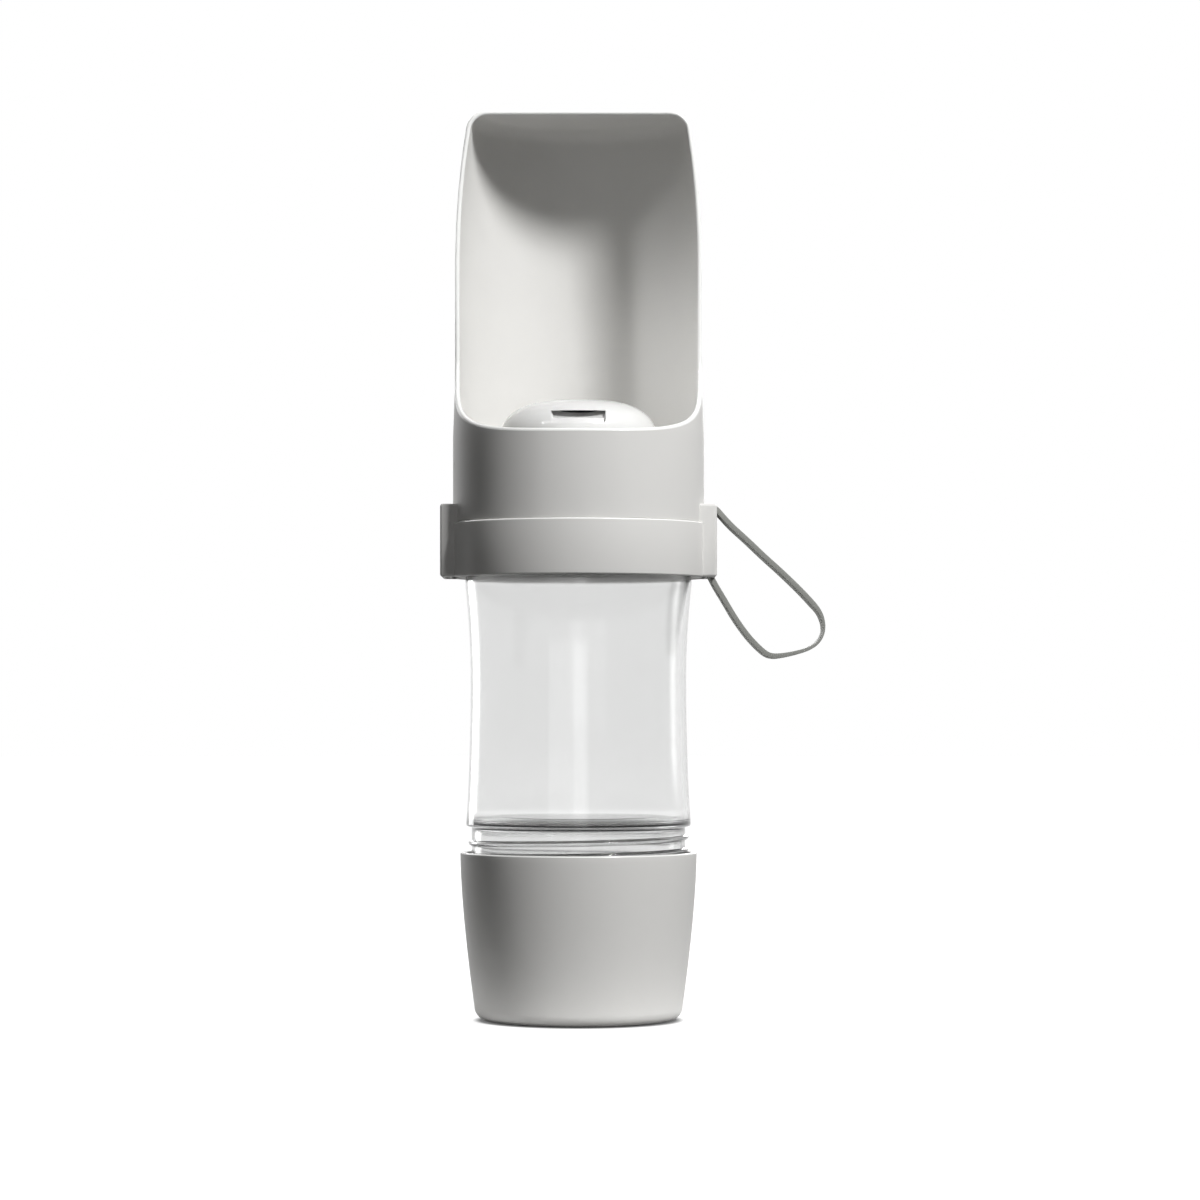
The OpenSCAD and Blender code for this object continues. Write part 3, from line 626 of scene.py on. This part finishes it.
class BOTTLE_OT_clear_bottle(bpy.types.Operator):
    """Turns the clear bottle and winds its two threads"""

    bl_idname = "bottle.clear_bottle"
    bl_label = "Clear bottle"

    def execute(self, context):
        s = sizes()
        wall = s.bottle_wall
        foot_z = cup_high[2] + s.thread_gap
        top_z, mouth_z = foot_z + s.bottle_body, bottle_high[2]
        neck_z = mouth_z - s.neck_height
        spigot_in, neck_in = s.spigot_radius - wall, s.neck_radius - wall
        shoulder = bottle_high[0] - s.neck_radius
        punt_z, floor_z = foot_z + 1.2 * MM, foot_z + 2.8 * MM
        inner_start = foot_z + 3 * MM
        steps = 28
        heights = [foot_z + s.bottle_body * i / steps for i in range(1, steps)]
        corners = [
            (0, punt_z, 0),
            (s.punt_radius, punt_z, 2 * MM),
            (spigot_in, foot_z - 0.8 * MM, 0.8 * MM),
            (spigot_in, bottle_low[2], 0.5 * MM),
            (s.spigot_radius, bottle_low[2], 0.5 * MM),
            (s.spigot_radius, foot_z, 0.4 * MM),
            (s.bottle_foot_radius, foot_z, 0.7 * MM),
        ]
        corners += plain((bottle_radius(z), z) for z in heights)
        corners += plain(arc((s.neck_radius, top_z), shoulder, neck_z - top_z, 0, 90, 14))
        corners += [(s.neck_radius, mouth_z, 0.6 * MM), (neck_in, mouth_z, 0.6 * MM)]
        corners += plain(arc((neck_in, top_z), shoulder, neck_z - top_z - wall, 90, 0, 14))
        corners += plain((bottle_radius(z) - wall, z) for z in reversed(heights) if z > inner_start)
        corners += [
            (bottle_radius(foot_z + 1 * MM) - wall, foot_z + 0.9 * MM, 1.2 * MM),
            (s.punt_radius + 0.4 * MM, floor_z, 2 * MM),
            (0, floor_z, 0),
        ]
        body = turned("clear_bottle", rounded_path(corners, closed=False))
        dress(body, "bottle", "clear_plastic", "bottle_body")
        for name, radius, angle, end_z, turns in (
                ("cup_thread", s.spigot_radius, radians(80), foot_z - 2.5 * MM, 3.4),
                ("neck_thread", s.neck_radius, 0, mouth_z - 3 * MM, 2.2)):
            dress(swept_ridge(name, radius, angle, end_z, turns), "bottle", "clear_plastic")
        return {"FINISHED"}


# Trough

class TroughShape:
    """Radii and rim of the trough, from the frame and the sizes."""

    def __init__(self):
        s = sizes()
        self.tube = trough_high[0]
        self.top = trough_high[2]
        self.step = collar_low[2] + s.collar_height
        self.lip = self.step + s.tube_height
        self.taper_height = 16 * MM
        self.draw_in = self.lip + 50.3 * MM
        self.round_height, self.round_width = 6.7 * MM, 7.2 * MM
        self.round_start = self.top - self.round_height
        self.plane_y = s.scoop_wall / 2 - s.rim_forward
        self.curve_y = -(self.tube + 2 * MM)
        self.curve_low = self.lip - s.scoop_wall / 2
        self.curve_top = self.curve_low + s.rim_curve

    def radius(self, z, inside):
        """Radius of the outer or the inner face at a height."""
        s = sizes()
        taper = min(1.0, max(0.0, (z - self.lip) / self.taper_height))
        radius = self.tube - (self.tube - s.scoop_radius) * taper
        if z > self.draw_in:
            share = (z - self.draw_in) / (self.round_start - self.draw_in)
            radius -= s.scoop_draw_in * min(1.0, share) ** 2.3
        if inside:
            radius -= s.trough_wall + (s.scoop_wall - s.trough_wall) * taper
        return radius

    def point(self, inside, angle, z):
        return ring(self.radius(z, inside), z, [angle])[0]

    def curve_share(self, y):
        """How far y stands from the curve's front to the plane of the scoop's opening."""
        return min(1.0, max(0.0, (y - self.curve_y) / (self.plane_y - self.curve_y)))

    def curve_height(self, inside, angle):
        """Height where a column of the outer or the inner face ends at the rim's curve."""
        reach = self.tube - (sizes().trough_wall if inside else 0)
        share = self.curve_share(reach * sin(angle))
        return self.curve_low + sizes().rim_curve * (1 - sqrt(max(0.0, 1 - share * share)))

    def curve_out(self, y):
        """Outward direction of the rim's curve at y, in the plane of Y and Z."""
        a = asin(self.curve_share(y))
        rise, reach = sizes().rim_curve, self.plane_y - self.curve_y
        return Vector((0, -rise * sin(a), reach * cos(a))).normalized()


def trough_columns(shape):
    """Angles of the mesh's columns, from the front round the back to the front again."""
    front = []
    steps, back_steps = 48, 96
    reach = shape.plane_y - shape.curve_y
    start = asin((-shape.tube - shape.curve_y) / reach)
    for i in range(steps + 1):
        y = shape.curve_y + reach * sin(start + (pi / 2 - start) * i / steps)
        front.append(asin(max(-1.0, min(1.0, y / shape.tube))))
    first = asin(shape.plane_y / shape.tube)
    back = [first + (pi - 2 * first) * i / back_steps for i in range(1, back_steps)]
    left = [pi - a for a in reversed(front)]
    return front, back, left


def tube_profile(shape, wall_start):
    """Outline of the tube and its floor, from inside at wall_start down and up again outside."""
    inner_tube = shape.tube - sizes().trough_wall
    skirt, skirt_in = collar_bore - 0.1 * MM, collar_bore - 1.5 * MM
    skirt_low, floor_z, floor_under = trough_low[2], dome_low[2], floor_seal_high[2]
    floor_bore = 12 * MM
    return denser(rounded_path([
        (shape.radius(wall_start, True), wall_start, 0),
        (inner_tube, floor_z, 1.2 * MM),
        (floor_bore, floor_z, 0.3 * MM),
        (floor_bore, floor_under, 0.3 * MM),
        (inner_tube, floor_under, 0.6 * MM),
        (inner_tube, shape.step, 0.2 * MM),
        (skirt_in, shape.step, 0.2 * MM),
        (skirt_in, skirt_low, 0.4 * MM),
        (skirt, skirt_low, 0.4 * MM),
        (skirt, shape.step, 0.05 * MM),
        (shape.tube, shape.step, 0.35 * MM),
        (shape.radius(wall_start, False), wall_start, 0),
    ], closed=False, steps=5), 2 * MM)


def scoop_profile(shape, inside):
    """Outline of the scoop's closed half, from the top of the rim's curve to the roof's middle."""
    inset = sizes().scoop_wall if inside else 0.0
    steps, roof_steps = 26, 6
    rise = shape.round_start - shape.curve_top
    section = []
    for i in range(steps + 1):
        z = shape.curve_top + rise * i / steps
        section.append((shape.radius(z, inside), z))
    corner = (shape.radius(shape.round_start, False) - shape.round_width, shape.round_start)
    section += arc(corner, shape.round_width - inset, shape.round_height - inset, 0, 90, 10)[1:]
    end, roof = section[-1]
    return section + [(end * (1 - i / roof_steps), roof) for i in range(1, roof_steps + 1)]


class BOTTLE_OT_trough(bpy.types.Operator):
    """Builds the trough: lower tube, floor and scoop in one shell with a rounded rim"""

    bl_idname = "bottle.trough"
    bl_label = "Trough"

    def execute(self, context):
        shape = TroughShape()
        front, back, left = trough_columns(shape)
        angles = front + back + left
        right, last = len(front) - 1, len(front) + len(back)
        wall_start = shape.lip - 2 * MM
        wall_rows, segments = 16, 8
        points, faces = [], []

        def add_grid(rows, **wraps):
            """Adds rows of points and the faces between them."""
            start = len(points)
            for row in rows:
                points.extend(row)
            faces.extend(tuple(start + i for i in face)
                         for face in grid_faces(len(rows), len(rows[0]), **wraps))

        def column_end(inside, index):
            """Where a column ends at the rim's curve, or at the curve's top on the back."""
            z = shape.curve_top
            if not right < index < last:
                z = shape.curve_height(inside, angles[index])
            return shape.point(inside, angles[index], z)

        def wall_row(inside, step):
            """A row of the curved part, some steps of wall_rows below the rim's end."""
            row = []
            for index, angle in enumerate(angles):
                end = column_end(inside, index)
                z = wall_start + (end[2] - wall_start) * step / wall_rows
                row.append(end if step == wall_rows else shape.point(inside, angle, z))
            return row

        rows = [wall_row(True, step) for step in range(wall_rows, 0, -1)]
        rows += [ring(radius, z, angles) for radius, z in tube_profile(shape, wall_start)]
        rows += [wall_row(False, step) for step in range(1, wall_rows + 1)]
        add_grid(rows, wrap_columns=True)

        span = angles[right:last + 1]
        inner, outer = scoop_profile(shape, True), scoop_profile(shape, False)
        for section in (inner, outer):
            add_grid([ring(radius, z, span) for radius, z in section])

        # The rounded rim that joins the inner and the outer face all along the opening
        def curve_ends(index):
            ends = Vector(column_end(False, index)), Vector(column_end(True, index))
            return (*ends, shape.curve_out(ends[0].y))

        def side_ends(index, side):
            ends = [Vector((side * radius * cos(angles[right]), radius * sin(angles[right]), z))
                    for radius, z in (outer[index], inner[index])]
            return (*ends, Vector((0, -1, 0)))

        loop = [curve_ends(i) for i in range(right + 1)]
        loop += [side_ends(i, 1) for i in range(1, len(inner))]
        loop += [side_ends(i, -1) for i in range(len(inner) - 2, 0, -1)]
        loop += [curve_ends(i) for i in range(last, len(angles))]
        rows = []
        for outer_end, inner_end, ahead in loop:
            middle = (outer_end + inner_end) / 2
            half = outer_end - middle
            turns = [pi * k / segments for k in range(segments + 1)]
            rows.append([middle + half * cos(a) + ahead * half.length * sin(a) for a in turns])
        add_grid(rows, wrap_rows=True)
        rim = {tuple(round(c, 6) for c in point) for row in rows for point in row[1:-1]}

        shell = mesh_object("trough_scoop", points, faces)
        depth = 12 * MM
        boolean_cut(shell, turned(
            "button_hole", [(0, 0), (bezel_radius, 0), (bezel_radius, depth), (0, depth)],
            closed=False, axis_point=(0, trough_high[0] - depth / 2, button_z)))
        dress(shell, "head", "grey_plastic", "trough_shell")
        # Faces along the rim take the polished finish, whose paler colour paints the rim's
        # highlight
        shell.data.materials.append(finish("polished_rim_painted_highlight"))
        on_rim = [tuple(round(c, 6) for c in v.co) in rim for v in shell.data.vertices]
        for face in shell.data.polygons:
            if any(on_rim[v] for v in face.vertices):
                face.material_index = 1
        return {"FINISHED"}


class BOTTLE_OT_collar(bpy.types.Operator):
    """Builds the collar ring and its two lugs"""

    bl_idname = "bottle.collar"
    bl_label = "Collar and lugs"

    def execute(self, context):
        s = sizes()
        low, step, top = collar_low[2], collar_low[2] + s.collar_height, collar_high[2]
        outer, reach = collar_high[1], collar_high[0]
        band = turned("collar_band", rounded_path([
            (collar_bore, low, 0.3 * MM), (outer, low, 0.5 * MM),
            (outer, step, 0.55 * MM), (collar_bore, step, 0.1 * MM),
        ], closed=True, steps=5))
        dress(band, "head", "grey_plastic", "collar_ring")
        # The crest's polished finish is paler than the grey, which paints a highlight along it
        polish_edge_with_painted_highlight(band, outer, step)

        half, slot_half = s.lug_width / 2, s.strap_width / 2 + 0.65 * MM
        slot_in, slot_out = strap_x - 1.02 * MM, reach - 1 * MM
        lug_start, band_in, tube = 36 * MM, collar_bore + 0.05 * MM, trough_high[0] - 0.1 * MM
        inside = [(0, low - MM), (band_in, low - MM), (band_in, step), (tube, step),
                  (tube, top + MM), (0, top + MM)]
        for name, turn in (("lug_right", 0), ("lug_left", pi)):
            lug = box_mesh(name, (lug_start, -half, low), (reach, half, top))
            soften_edges(lug, 0.9 * MM, segments=5)
            boolean_cut(lug, box_mesh("lug_slot", (slot_in, -slot_half, low - MM),
                                      (slot_out, slot_half, top + MM)))
            boolean_cut(lug, box_mesh("lug_notch", (slot_out - MM, -slot_half, step + MM),
                                      (reach + MM, slot_half, top + MM)))
            soften_edges(lug, 0.25 * MM)
            boolean_cut(lug, turned("lug_inside", inside, closed=False), crease=50)
            if turn:
                lug.data.transform(Matrix.Rotation(turn, 4, "Z"))
            dress(lug, "head", "grey_plastic")
        return {"FINISHED"}


class BOTTLE_OT_outlet_dome(bpy.types.Operator):
    """Turns the outlet dome and cuts its slot"""

    bl_idname = "bottle.outlet_dome"
    bl_label = "Outlet dome"

    def execute(self, context):
        s = sizes()
        low, high, radius = dome_low[2], dome_high[2], dome_high[0]
        crown, wall, skin, edge = 9 * MM, 1.8 * MM, 1 * MM, 0.4 * MM
        shoulder_z = low + (high - low) / 3

        def crown_arc(inset, start, end, steps):
            """The dome's curve over its shoulder, some way inside its outer face."""
            return arc((crown, shoulder_z), radius - inset - crown, high - inset - shoulder_z,
                       start, end, steps)

        # Inside, a block round the slot keeps the wall thick from the split outwards
        split = 51
        inner_ring = crown + (radius - wall - crown) * cos(radians(split))
        outline = [(0, high)] + crown_arc(0, 90, 0, 22)
        outline += [(radius, low + edge), (radius - edge, low), (radius - wall, low),
                    (radius - wall, shoulder_z - MM), (inner_ring, shoulder_z - MM)]
        outline += crown_arc(wall, split, 90, 12) + [(0, high - wall)]
        dome = turned("dome_cover", outline, closed=False)

        pocket_top, pocket_height = shoulder_z + 5.7 * MM, 4.1 * MM
        half = s.slot_width / 2
        core = turned("dome_skin", [(0, low - MM), (radius - skin, low - MM),
                                    (radius - skin, shoulder_z)]
                      + crown_arc(skin, 0, 90, 22) + [(0, high - skin)], closed=False)
        pocket = box_mesh("dome_pocket", (-half, -radius - MM, pocket_top - pocket_height),
                          (half, -crown, pocket_top))
        boolean_cut(pocket, core)
        boolean_cut(dome, pocket)

        # The slot's ramp in Y and Z: its floor from the front backwards, then its ceiling
        front_y, bend_y, back_y = -radius - MM, -inner_ring - 3.2 * MM, MM - inner_ring
        sill_z, lintel_z = pocket_top - s.slot_height, pocket_top - 0.1 * MM
        ramp = [(front_y, sill_z), (bend_y, sill_z), (back_y, pocket_top + 0.15 * MM),
                (back_y, pocket_top + 0.5 * MM), (bend_y - 0.2 * MM, lintel_z),
                (front_y, lintel_z)]
        count = len(ramp)
        sides = [(x, y, z) for x in (edge - half, half - edge) for y, z in ramp]
        slot = mesh_object("dome_slot", sides, [
            tuple(range(count)), tuple(range(2 * count - 1, count - 1, -1)),
            *grid_faces(2, count, wrap_columns=True)])
        boolean_cut(dome, slot)
        dress(dome, "head", "white_plastic", "outlet_dome")
        return {"FINISHED"}


class BOTTLE_OT_release_button(bpy.types.Operator):
    """Turns the button at the back and its bezel"""

    bl_idname = "bottle.release_button"
    bl_label = "Release button"

    def execute(self, context):
        radius, flange, flange_y = 5.3 * MM, button_high[0], 1.5 * MM
        length = button_high[1] - button_low[1]
        dish, dish_radius = 0.8 * MM, radius - 1.3 * MM
        outline = rounded_path([
            (0, 0, 0), (flange, 0, 0.3 * MM), (flange, flange_y, 0.3 * MM),
            (radius, flange_y, 0.1 * MM), (radius, length, 0.7 * MM),
            (dish_radius, length, 0.8 * MM),
        ], closed=False)
        outline += [(r * dish_radius, length - dish * (1 - r * r)) for r in (0.8, 0.6, 0.4, 0.2, 0)]
        button = turned("button_cap", outline, closed=False,
                        axis_point=(0, button_low[1], button_z))
        dress(button, "button", "white_plastic", "release_button")

        bore, sleeve, cover = radius + 0.06 * MM, bezel_radius - 0.1 * MM, bezel_high[0]
        reach = bezel_high[1] - bezel_low[1]
        cover_y = reach - 2.2 * MM
        outline = rounded_path([
            (bore, 0, 0.1 * MM), (sleeve, 0, 0.1 * MM), (sleeve, cover_y, 0.05 * MM),
            (cover, cover_y, 0.1 * MM), (cover, reach, 0.7 * MM), (bore, reach, 0.4 * MM),
        ], closed=True)
        bezel = turned("bezel_ring", outline, axis_point=(0, bezel_low[1], button_z))
        dress(bezel, "head", "grey_plastic", "button_bezel")
        return {"FINISHED"}


# The loop's middle line in X and Z, in millimetres, from the lug's top round to its underside
STRAP_LOOP = (
    (48.4, 157.5), (53.5, 152.8), (59.1, 147.5), (64.5, 142.6), (69.8, 137.5), (73.8, 133.3),
    (76.0, 130.5), (77.1, 128.0), (77.5, 125.3), (77.0, 122.6), (75.4, 120.2), (72.6, 118.4),
    (68.3, 117.0), (64.6, 116.2), (61.8, 116.0), (59.5, 116.8), (56.5, 119.4), (53.3, 123.0),
    (49.7, 128.1), (46.3, 133.8), (43.6, 138.3),
)

# Where the strap is thinnest, in X and Z, and how far above and below it is thick again, in
# millimetres
STRAP_TURN = (77.3, 124.0)
THIN_ABOVE, THIN_BELOW = 9, 17


class BOTTLE_OT_carry_strap(bpy.types.Operator):
    """Sweeps the strap as one band through the right lug and round its loop"""

    bl_idname = "bottle.carry_strap"
    bl_label = "Carry strap"

    def execute(self, context):
        s = sizes()
        bend_round, corner = 1.3 * MM, 0.12 * MM
        bend = arc((strap_x + bend_round, anchor_high[2] - 1 * MM), bend_round, bend_round,
                   180, 46, 10)
        loop = smooth_run([bend[-1], *((px * MM, pz * MM) for px, pz in STRAP_LOOP),
                           (strap_x, collar_low[2] + 1 * MM)])
        path = even_path([Vector(p) for p in bend + loop[1:]], 240)
        half_w, half_t = s.strap_width / 2, s.strap_thickness / 2
        section = rounded_path([
            (-half_w, -half_t, corner), (half_w, -half_t, corner),
            (half_w, half_t, corner), (-half_w, half_t, corner),
        ], closed=True, steps=4)
        turn = Vector(STRAP_TURN) * MM
        points = []
        for i, here in enumerate(path):
            ahead = (path[(i + 1) % len(path)] - path[i - 1]).normalized()
            normal = Vector((-ahead.y, ahead.x))
            reach = (THIN_ABOVE if here.y > turn.y else THIN_BELOW) * MM
            share = s.strap_thin + (1 - s.strap_thin) * min(1.0, (here - turn).length / reach)
            for across, height in section:
                up = height * share + half_t * (1 - share)
                points.append((here.x + normal.x * up, across, here.y + normal.y * up))
        faces = grid_faces(len(path), len(section), wrap_rows=True, wrap_columns=True)
        strap = mesh_object("strap_band", points, faces)
        strap.data.materials.append(finish(SLOT_FINISH["strap_rubber"]))
        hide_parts("carry_strap", "strap_anchor")
        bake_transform(strap)
        return {"FINISHED"}


def smooth_run(points, steps=6):
    """An open run through the points, curved through each of them."""
    run = [Vector(p) for p in points]
    padded = [2 * run[0] - run[1]] + run + [2 * run[-1] - run[-2]]
    result = []
    for a, b, c, d in zip(padded, padded[1:], padded[2:], padded[3:]):
        for i in range(steps):
            u = i / steps
            result.append(0.5 * (2 * b + (c - a) * u + (2 * a - 5 * b + 4 * c - d) * u * u
                                 + (3 * b - a - 3 * c + d) * u ** 3))
    return result + [run[-1]]


def even_path(points, count):
    """The closed path through the points again, with evenly spaced points."""
    lengths = [0.0]
    closed = points + [points[0]]
    for a, b in zip(closed, closed[1:]):
        lengths.append(lengths[-1] + (b - a).length)
    result = []
    k = 0
    for i in range(count):
        want = lengths[-1] * i / count
        while lengths[k + 1] < want:
            k += 1
        span = lengths[k + 1] - lengths[k]
        share = (want - lengths[k]) / span if span else 0
        result.append(closed[k].lerp(closed[k + 1], share))
    return result


class BOTTLE_OT_springs(bpy.types.Operator):
    """Winds the stem's and the button's return springs as fixed coils, each filling its node's box;
    on the real bottle they shorten as the button goes in
    """

    bl_idname = "bottle.springs"
    bl_label = "Return springs"

    def execute(self, context):
        for name, node, turns, axis in (("stem_coil", "stem_spring", 5, (0, 0, 1)),
                                        ("button_coil", "button_spring", 7, (0, 1, 0))):
            low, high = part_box(node)
            lengthways = axis.index(1)
            spring = coil(name, low, high, turns, along_y=lengthways == 1)
            dress(spring, "head", "spring_steel", node)
            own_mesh(spring)
        return {"FINISHED"}


class BOTTLE_OT_inner_parts(bpy.types.Operator):
    """Gives the valve, the seals and the screws their finishes"""

    bl_idname = "bottle.inner_parts"
    bl_label = "Valve, seals and screws"

    def execute(self, context):
        finishes = {
            "gloss_white": ("neck_cap", "valve_stem", "stopper_washer", "cam_follower", "push_rod",
                            "gland_cap"),
            "soft_silicone": ("food_cup_seal", "neck_gasket", "chamber_seal", "valve_stopper",
                              "rod_seal"),
            "bright_steel": ("housing_screws",),
        }
        for name, nodes in finishes.items():
            for node in nodes:
                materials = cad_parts[node].data.materials
                materials.clear()
                materials.append(finish(name))
        return {"FINISHED"}


# Stage

EYE_HEIGHT = 0.1004
EYE_DISTANCE = 1.18
FOCAL = 111
SENSOR = 36
SHIFT_X = 21.5 / 1200
SHIFT_Y = 105 / 1200


def area_light(name, azimuth, elevation, distance, size, power, size_y=None, aim=(0, 0, 0.16)):
    """An area light round the object; azimuth 0 stands in front and 90 at the right."""
    data = bpy.data.lights.new(name, "AREA")
    data.shape = "RECTANGLE"
    data.size = size
    data.size_y = size_y or size
    data.energy = power
    lamp = bpy.data.objects.new(name, data)
    bpy.context.collection.objects.link(lamp)
    a, e = radians(azimuth), radians(elevation)
    lamp.location = Vector(aim) + distance * Vector((sin(a) * cos(e), -cos(a) * cos(e), sin(e)))
    lamp.rotation_euler = (Vector(aim) - lamp.location).to_track_quat("-Z", "Y").to_euler()
    return lamp


def background_rays(tree):
    """A mask of the rays that show the backdrop: camera, glossy and transmission rays."""
    path = add(tree, "ShaderNodeLightPath")
    first = add(tree, "ShaderNodeMath", operation="MAXIMUM")
    either = add(tree, "ShaderNodeMath", operation="MAXIMUM")
    wire(tree, (path, "Is Camera Ray", first, 0), (path, "Is Glossy Ray", first, 1),
         (first, 0, either, 0), (path, "Is Transmission Ray", either, 1))
    return either


def backdrop_world():
    world = bpy.data.worlds.new("studio")
    world.use_nodes = True
    tree = world.node_tree
    tree.nodes.clear()
    lit = add(tree, "ShaderNodeBackground", in_Color=(1, 1, 1, 1), in_Strength=0.015)
    seen = add(tree, "ShaderNodeBackground", in_Color=(1, 1, 1, 1), in_Strength=1.0)
    mix = add(tree, "ShaderNodeMixShader")
    out = add(tree, "ShaderNodeOutputWorld")
    wire(tree, (background_rays(tree), 0, mix, 0), (lit, 0, mix, 1), (seen, 0, mix, 2),
         (mix, 0, out, 0))
    bpy.context.scene.world = world


def floor_material():
    """A white floor that glows white where it's seen, with a painted contact shadow just round the
    foot. For bounced light its colour is pale in a ring round the foot and dark right under it,
    which paints light and shade up onto the cup.
    """
    material = bpy.data.materials.new("studio_floor")
    material.cycles.emission_sampling = "NONE"
    material.use_nodes = True
    tree = material.node_tree
    shader = tree.nodes["Principled BSDF"]
    shader.inputs["Roughness"].default_value = 0.9
    shader.inputs["Specular IOR Level"].default_value = 0.1
    place = add(tree, "ShaderNodeNewGeometry")
    reach = add(tree, "ShaderNodeVectorMath", operation="LENGTH")
    wire(tree, (place, "Position", reach, 0))

    def by_distance(*stops):
        """A value that runs smoothly from one (distance, value) stop to the next."""
        before = None
        for (near, low), (far, high) in zip(stops, stops[1:]):
            step = add(tree, "ShaderNodeMapRange", interpolation_type="SMOOTHSTEP",
                       in_1=near, in_2=far, in_3=low, in_4=high)
            wire(tree, (reach, "Value", step, 0))
            if before:
                wire(tree, (before, 0, step, 3))
            before = step
        return before

    seen = background_rays(tree)
    # Painted bounce light: for rays that don't see the backdrop, the floor is dark under the foot,
    # pale in a ring round it and dark farther out
    painted_bounce_ring = by_distance((0.031, 0.1), (0.036, 0.95), (0.078, 0.1))
    # Painted contact shadow: where it's seen the floor glows white, but much dimmer just round the
    # foot
    glow_with_painted_shadow = by_distance((0.031, 0.15), (0.0345, 0.92), (0.3, 1.0))
    albedo_with_painted_bounce = add(tree, "ShaderNodeMix", in_3=0.12)
    strength = add(tree, "ShaderNodeMath", operation="MULTIPLY")
    light = add(tree, "ShaderNodeEmission", in_Color=(1, 1, 1, 1))
    both = add(tree, "ShaderNodeAddShader")
    wire(tree, (seen, 0, albedo_with_painted_bounce, 0), (painted_bounce_ring, 0, albedo_with_painted_bounce, 2), (albedo_with_painted_bounce, 0, shader, "Base Color"),
         (seen, 0, strength, 0), (glow_with_painted_shadow, 0, strength, 1), (strength, 0, light, "Strength"),
         (shader, 0, both, 0), (light, 0, both, 1),
         (both, 0, tree.nodes["Material Output"], "Surface"))
    return material


class BOTTLE_OT_studio(bpy.types.Operator):
    """Sets up the floor, the soft lights and the camera"""

    bl_idname = "bottle.studio"
    bl_label = "Studio"

    def execute(self, context):
        reach = 6.0
        corners = [(-reach, -reach, 0), (reach, -reach, 0), (reach, reach, 0), (-reach, reach, 0)]
        floor = mesh_object("studio_floor", corners, [(0, 1, 2, 3)])
        floor.data.materials.append(floor_material())
        area_light("key", 40, 40.5, 1.3, 0.24, 18.5)
        area_light("top", -5, 80, 1.2, 0.35, 1.7)
        area_light("rim", -143, 14, 1.0, 0.3, 2.8, size_y=0.8)
        area_light("back", 176, 17, 1.4, 0.7, 13).visible_transmission = False
        for name, azimuth, width, power in (("card", 3, 0.45, 2.2), ("wide_card", -12, 1.2, 5.4)):
            card = area_light(name, azimuth, 2, 1.7, width, power, size_y=1.8)
            card.visible_diffuse = False
            card.visible_camera = False
        in_trough = (0.028, 0.01, 0.212)
        inside = area_light("inside", -58, 30, 0.6, 0.3, 0.027, size_y=0.05, aim=in_trough)
        inside.data.spread = radians(10)
        backdrop_world()
        data = bpy.data.cameras.new("camera")
        data.lens, data.sensor_width = FOCAL, SENSOR
        data.shift_x, data.shift_y = SHIFT_X, SHIFT_Y
        camera = bpy.data.objects.new("camera", data)
        context.collection.objects.link(camera)
        camera.location = (0, -EYE_DISTANCE, EYE_HEIGHT)
        camera.rotation_euler = (pi / 2, 0, 0)
        context.scene.camera = camera
        context.scene.view_settings.view_transform = "Standard"
        return {"FINISHED"}


OPERATORS = (
    BOTTLE_OT_food_cup, BOTTLE_OT_clear_bottle, BOTTLE_OT_trough, BOTTLE_OT_collar,
    BOTTLE_OT_outlet_dome, BOTTLE_OT_release_button, BOTTLE_OT_springs, BOTTLE_OT_carry_strap,
    BOTTLE_OT_inner_parts, BOTTLE_OT_studio,
)


class BOTTLE_PT_panel(bpy.types.Panel):
    """Lists the bottle's pieces"""

    bl_label = "Travel bottle"
    bl_idname = "BOTTLE_PT_panel"
    bl_space_type = "VIEW_3D"
    bl_region_type = "UI"
    bl_category = "Bottle"

    def draw(self, context):
        for operator in OPERATORS:
            self.layout.operator(operator.bl_idname)


CLASSES = (BottleSizes, BottleColours, *OPERATORS, BOTTLE_PT_panel)


def register():
    for cls in CLASSES:
        bpy.utils.register_class(cls)
    bpy.types.Scene.bottle_sizes = PointerProperty(type=BottleSizes)
    bpy.types.Scene.bottle_colours = PointerProperty(type=BottleColours)


def unregister():
    del bpy.types.Scene.bottle_colours
    del bpy.types.Scene.bottle_sizes
    for cls in reversed(CLASSES):
        bpy.utils.unregister_class(cls)


def main():
    register()
    bpy.ops.bottle.studio()
    bpy.ops.bottle.food_cup()
    bpy.ops.bottle.clear_bottle()
    bpy.ops.bottle.trough()
    bpy.ops.bottle.collar()
    bpy.ops.bottle.outlet_dome()
    bpy.ops.bottle.release_button()
    bpy.ops.bottle.springs()
    bpy.ops.bottle.carry_strap()
    bpy.ops.bottle.inner_parts()


if __name__ == "__main__":
    main()
